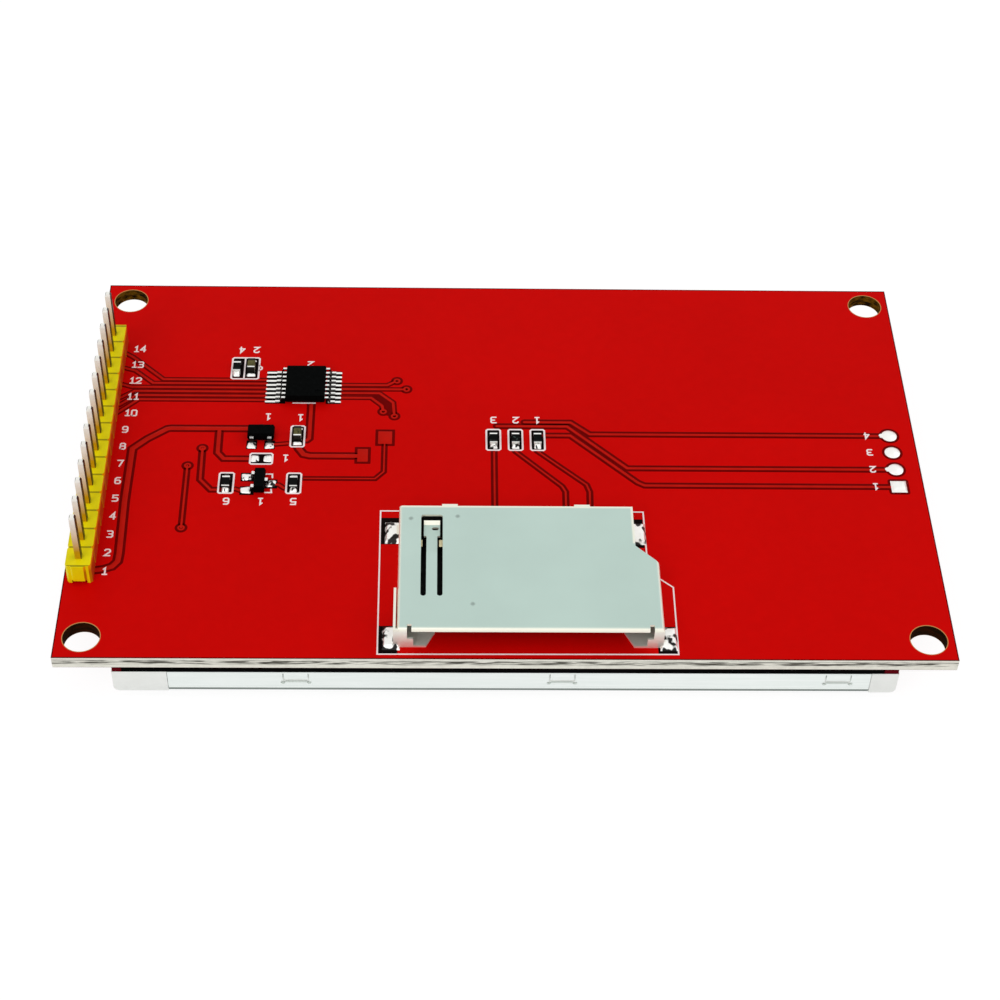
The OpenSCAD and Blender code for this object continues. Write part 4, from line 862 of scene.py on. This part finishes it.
# Places of the parts, in mm from the board's middle
parts = {
    "chip": (-21.5, 10.8), "regulator": (-25.95, 3.2), "transistor": (-25.7, -3.9), "jumper": (-25.75, -0.2),
    "resistors": [(-29.25, 13.8), (-29.25, -3.8), (-22.15, -3.8), (-1.0, 2.85), (1.37, 2.85), (3.74, 2.85)],
    "capacitors": [(-27.65, 13.8), (-22.05, 3.2)], "socket": (-10.9, -26.02),
}

# Patches of bare laminate and painted shadow round the pads: offset from the part, and size
patches = {
    "height": 0.01, "boxMargin": 0.05, "base": 0.004, "socketBase": 0.002,
    "chip": [(-3.25, 0, 2.2, 5.15), (3.05, 0, 1.6, 5.15)],
    "socket": [(-1.0, 15.5, 2.0, 3.7), (-0.95, 0.9, 2.0, 3.6), (24.42, 15.3, 1.7, 4.0),
               (26.8, 0.9, 2.0, 3.6)],
    "regulator": [(-0.95, -1.3, 1.15, 1.3), (0.95, -1.3, 1.15, 1.3), (0, 1.2, 1.15, 0.9)],
    "transistor": [(-1.3, -0.98, 1.5, 1.25), (-1.3, 0.98, 1.5, 1.25), (1.1, 0, 1.5, 1.3)],
}


# Near black patches round the pads and inside the part outlines: bare laminate where the mask is left open,
# darkened as painted shadow under and between the parts
def patchShapes():
    high, margin = patches["height"], 2 * patches["boxMargin"]
    shapes = [plate(((x0 + x1) / 2, (y0 + y1) / 2), (x1 - x0 - margin, y1 - y0 - margin), high)
              for x0, y0, x1, y1 in ink["boxes"]]
    for part in ("chip", "socket", "regulator", "transistor"):
        midX, midY = parts[part]
        base = patches["socketBase" if part == "socket" else "base"]
        shapes += [plate((midX + dx, midY + dy), (wide, deep), high, base)
                   for dx, dy, wide, deep in patches[part]]
    return shapes


# Pads of the chip: each row's middle and length. Tails on some of the card header's pads, counted
# from 0: where each starts and ends from the pad's left edge, its width and its height.
pads = {
    "base": 0.012, "height": 0.035, "pitch": 0.65, "perRow": 8, "width": 0.28, "corner": 0.1,
    "rows": [(-25.07, 1.62), (-18.32, 1.44)],
    "tailed": [1, 3], "tailStart": 0.35, "tailEnd": 0.02, "tailWidth": 0.62, "tailHeight": 0.07,
}


# Tinned pads of the chip, each a thin rounded plate
def padShapes():
    row = parts["chip"][1] + (np.arange(pads["perRow"]) - (pads["perRow"] - 1) / 2) * pads["pitch"]
    return [plate((x, y), (length, pads["width"]), pads["height"], pads["base"], corner=pads["corner"])
            for x, length in pads["rows"] for y in row]


# Short tails of solder on two of the card header's pads, towards their tracks
def tailShapes():
    padX, padRow, padR = cardPads()
    start, end = padX - padR + pads["tailStart"], padX - padR + pads["tailEnd"]
    return [line([(start, y), (end, y)], pads["tailWidth"], pads["tailHeight"], pads["base"])
            for y in padRow[pads["tailed"]]]


# Solder heaps: offset from the part, then what heap is given
heaps = {
    "resistor": [
        (0, -1.06, dict(size=(0.78, 0.62), height=0.34, lean=(0, 0.6), uneven=0.16, corner=0.15)),
        (0, 1.04, dict(size=(0.7, 0.24), height=0.08, lean=(0, -0.4), uneven=0.1, seed=9, corner=0.1))],
    "regulator": [
        *((side, -1.42, dict(size=(1.12, 0.92), height=0.2, lean=(0, 0.3), uneven=0.14, seed=side, corner=0.2,
                             taper=0.35)) for side in (-0.95, 0.95)),
        (0, 1.15, dict(size=(0.6, 0.3), height=0.12))],
    "transistor": [
        (dx, dy, dict(size=(1.12, 0.92), height=0.2, lean=(0.3, 0), uneven=0.2, seed=dy, corner=0.2))
        for dx, dy in ((-1.38, -0.95), (-1.38, 0.95), (1.12, 0))],
    "capacitor": [
        (0, dy, dict(size=(0.95, depth), height=0.24, lean=(0, lean), uneven=0.08, seed=2, corner=0.12))
        for dy, depth, lean in ((-1.15, 0.42, 0.4), (1.1, 0.3, -0.4))],
    "jumper": [
        (side * 0.66, 0, dict(size=(0.85, 0.95), height=0.2, lean=(-0.3 * side, 0.2), uneven=0.16,
                              seed=side + 3, corner=0.2)) for side in (-1, 1)],
}


# The heaps of one part, with their seeds moved on
def heapShapes(kind, place, moveOn=0):
    return [heap((place[0] + dx, place[1] + dy), **{**settings, "seed": settings.get("seed", 0) + moveOn})
            for dx, dy, settings in heaps[kind]]


def solderShapes():
    shapes = []
    for index, place in enumerate(parts["resistors"]):
        shapes += heapShapes("resistor", place, index)
    for part in ("regulator", "transistor"):
        shapes += heapShapes(part, parts[part])
    return shapes


# Dark red strips of painted shade, from the mounting tape's ends nearly to the ends of the moulding: they
# stand for the shaded gap under the board
cavityShade = {"width": 1.2, "fromEnd": 0.08, "corner": 0.02}


def linerShapes():
    low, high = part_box("mounting_tape")
    wallLow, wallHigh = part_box("backlight_moulding")
    base, thick = (low.z - boardHigh.z) / mm, (high.z - low.z) / mm
    shapes = []
    for outer, inner in [(wallLow.x / mm + cavityShade["fromEnd"], low.x / mm),
                         (wallHigh.x / mm - cavityShade["fromEnd"], high.x / mm)]:
        for side in (-1, 1):
            mid = ((outer + inner) / 2, side * (high.y / mm - cavityShade["width"] / 2))
            shapes.append(plate(mid, (abs(outer - inner), cavityShade["width"]), thick, base, cavityShade["corner"]))
    return shapes


addPiece("cavity_shade_strips", linerShapes(), finishes["cavityShadeStrip"])
addPiece("laminate_and_shadow", patchShapes(), finishes["laminateAndShadow"])
addPiece("tinned_pads", padShapes() + tailShapes(), finishes["cleanSolder"])
addPiece("part_solder", solderShapes(), finishes["solder"], ["component_solder"])
capacitorHeaps = [shape for place in parts["capacitors"] for shape in heapShapes("capacitor", place)]
addPiece("capacitor_solder", capacitorHeaps, finishes["cleanSolder"])
addPiece("jumper_heaps", heapShapes("jumper", parts["jumper"]), finishes["solder"],
         ["jumper_solder"])
print("pads done")

# Floor and world, in metres. The floor lies a little low, so that it meets no face of the part.
studio = {
    "half": 2.0, "level": -0.00005, "bounce": (0.86, 0.86, 0.86, 1), "glow": 1.12, "glowShare": 0.8,
    "ambient": 0.62, "seen": 1.0,
}


# 1 for rays that show a thing itself, 0 for rays that only carry its light
def seenDirectly(tree):
    light = addNode(tree, "ShaderNodeLightPath").outputs
    return calc(tree, "+", calc(tree, "+", light["Is Camera Ray"], light["Is Glossy Ray"]),
                light["Is Transmission Ray"], clamp=True)


def addStage():
    corners = [(x * studio["half"], y * studio["half"], studio["level"])
               for x, y in ((-1, -1), (1, -1), (1, 1), (-1, 1))]
    floor = bpy.data.meshes.new("floor")
    floor.from_pydata(corners, [], [(0, 1, 2, 3)])
    material = bpy.data.materials.new("paleFloor")
    material.use_nodes = True
    tree = material.node_tree
    tree.nodes.remove(tree.nodes["Principled BSDF"])
    diffuse = addNode(tree, "ShaderNodeBsdfDiffuse", {"Color": studio["bounce"]})
    glow = addNode(tree, "ShaderNodeEmission", {"Color": (1, 1, 1, 1), "Strength": studio["glow"]})
    share = calc(tree, "*", seenDirectly(tree), studio["glowShare"])
    mix = addNode(tree, "ShaderNodeMixShader", {0: share, 1: diffuse.outputs[0], 2: glow.outputs[0]})
    # the floor can be looked through from below
    under = addNode(tree, "ShaderNodeNewGeometry").outputs["Backfacing"]
    clear = addNode(tree, "ShaderNodeBsdfTransparent")
    whole = addNode(tree, "ShaderNodeMixShader", {0: under, 1: mix.outputs[0], 2: clear.outputs[0]})
    tree.links.new(whole.outputs[0], tree.nodes["Material Output"].inputs[0])
    floor.materials.append(material)
    stage = bpy.data.objects.new("floor", floor)
    bpy.context.scene.collection.objects.link(stage)


def addWorld():
    sky = bpy.data.worlds.new("studio")
    bpy.context.scene.world = sky
    sky.use_nodes = True
    tree = sky.node_tree
    tree.nodes.clear()
    strength = calc(tree, "MULTIPLY_ADD", seenDirectly(tree), studio["seen"] - studio["ambient"],
                    studio["ambient"])
    glow = addNode(tree, "ShaderNodeBackground", {"Color": (1, 1, 1, 1), "Strength": strength})
    out = addNode(tree, "ShaderNodeOutputWorld")
    tree.links.new(glow.outputs[0], out.inputs[0])


# Square lamps that face a point a little above the floor: place and size in metres, power in watts
lamps = {
    "aim": (0, 0, 0.005),
    "each": [("frontLamp", (-0.35, -0.55, 0.6), 0.5, 1.6), ("sideLamp", (0.55, 0.1, 0.5), 0.5, 0.7)],
}


def addLamp(name, place, size, power):
    lamp = bpy.data.lights.new(name, "AREA")
    lamp.shape, lamp.size, lamp.energy = "SQUARE", size, power
    obj = bpy.data.objects.new(name, lamp)
    obj.location = place
    obj.rotation_euler = (Vector(lamps["aim"]) - Vector(place)).to_track_quat("-Z", "Y").to_euler()
    bpy.context.scene.collection.objects.link(obj)


camera = {
    "place": (-0.006828, -0.163566, 0.173322), "ahead": (0.02782, 0.68544, -0.7276),
    "roll": 1.996, "lens": 78.875, "sensor": 36.0, "nearest": 0.01,
}


def addCamera():
    ahead = Vector(camera["ahead"]).normalized()
    flatRight = ahead.cross(Vector((0, 0, 1))).normalized()
    flatUp = flatRight.cross(ahead)
    roll = math.radians(camera["roll"])
    right = flatRight * math.cos(roll) + flatUp * math.sin(roll)
    up = flatUp * math.cos(roll) - flatRight * math.sin(roll)
    data = bpy.data.cameras.new("camera")
    data.lens, data.sensor_width, data.clip_start = camera["lens"], camera["sensor"], camera["nearest"]
    obj = bpy.data.objects.new("camera", data)
    axes = Matrix((right, up, -ahead)).transposed()
    obj.matrix_world = Matrix.Translation(camera["place"]) @ axes.to_4x4()
    bpy.context.scene.collection.objects.link(obj)
    bpy.context.scene.camera = obj


addStage()
addWorld()
for settings in lamps["each"]:
    addLamp(*settings)
addCamera()
bpy.context.scene.view_settings.view_transform = "Standard"
print("stage done")
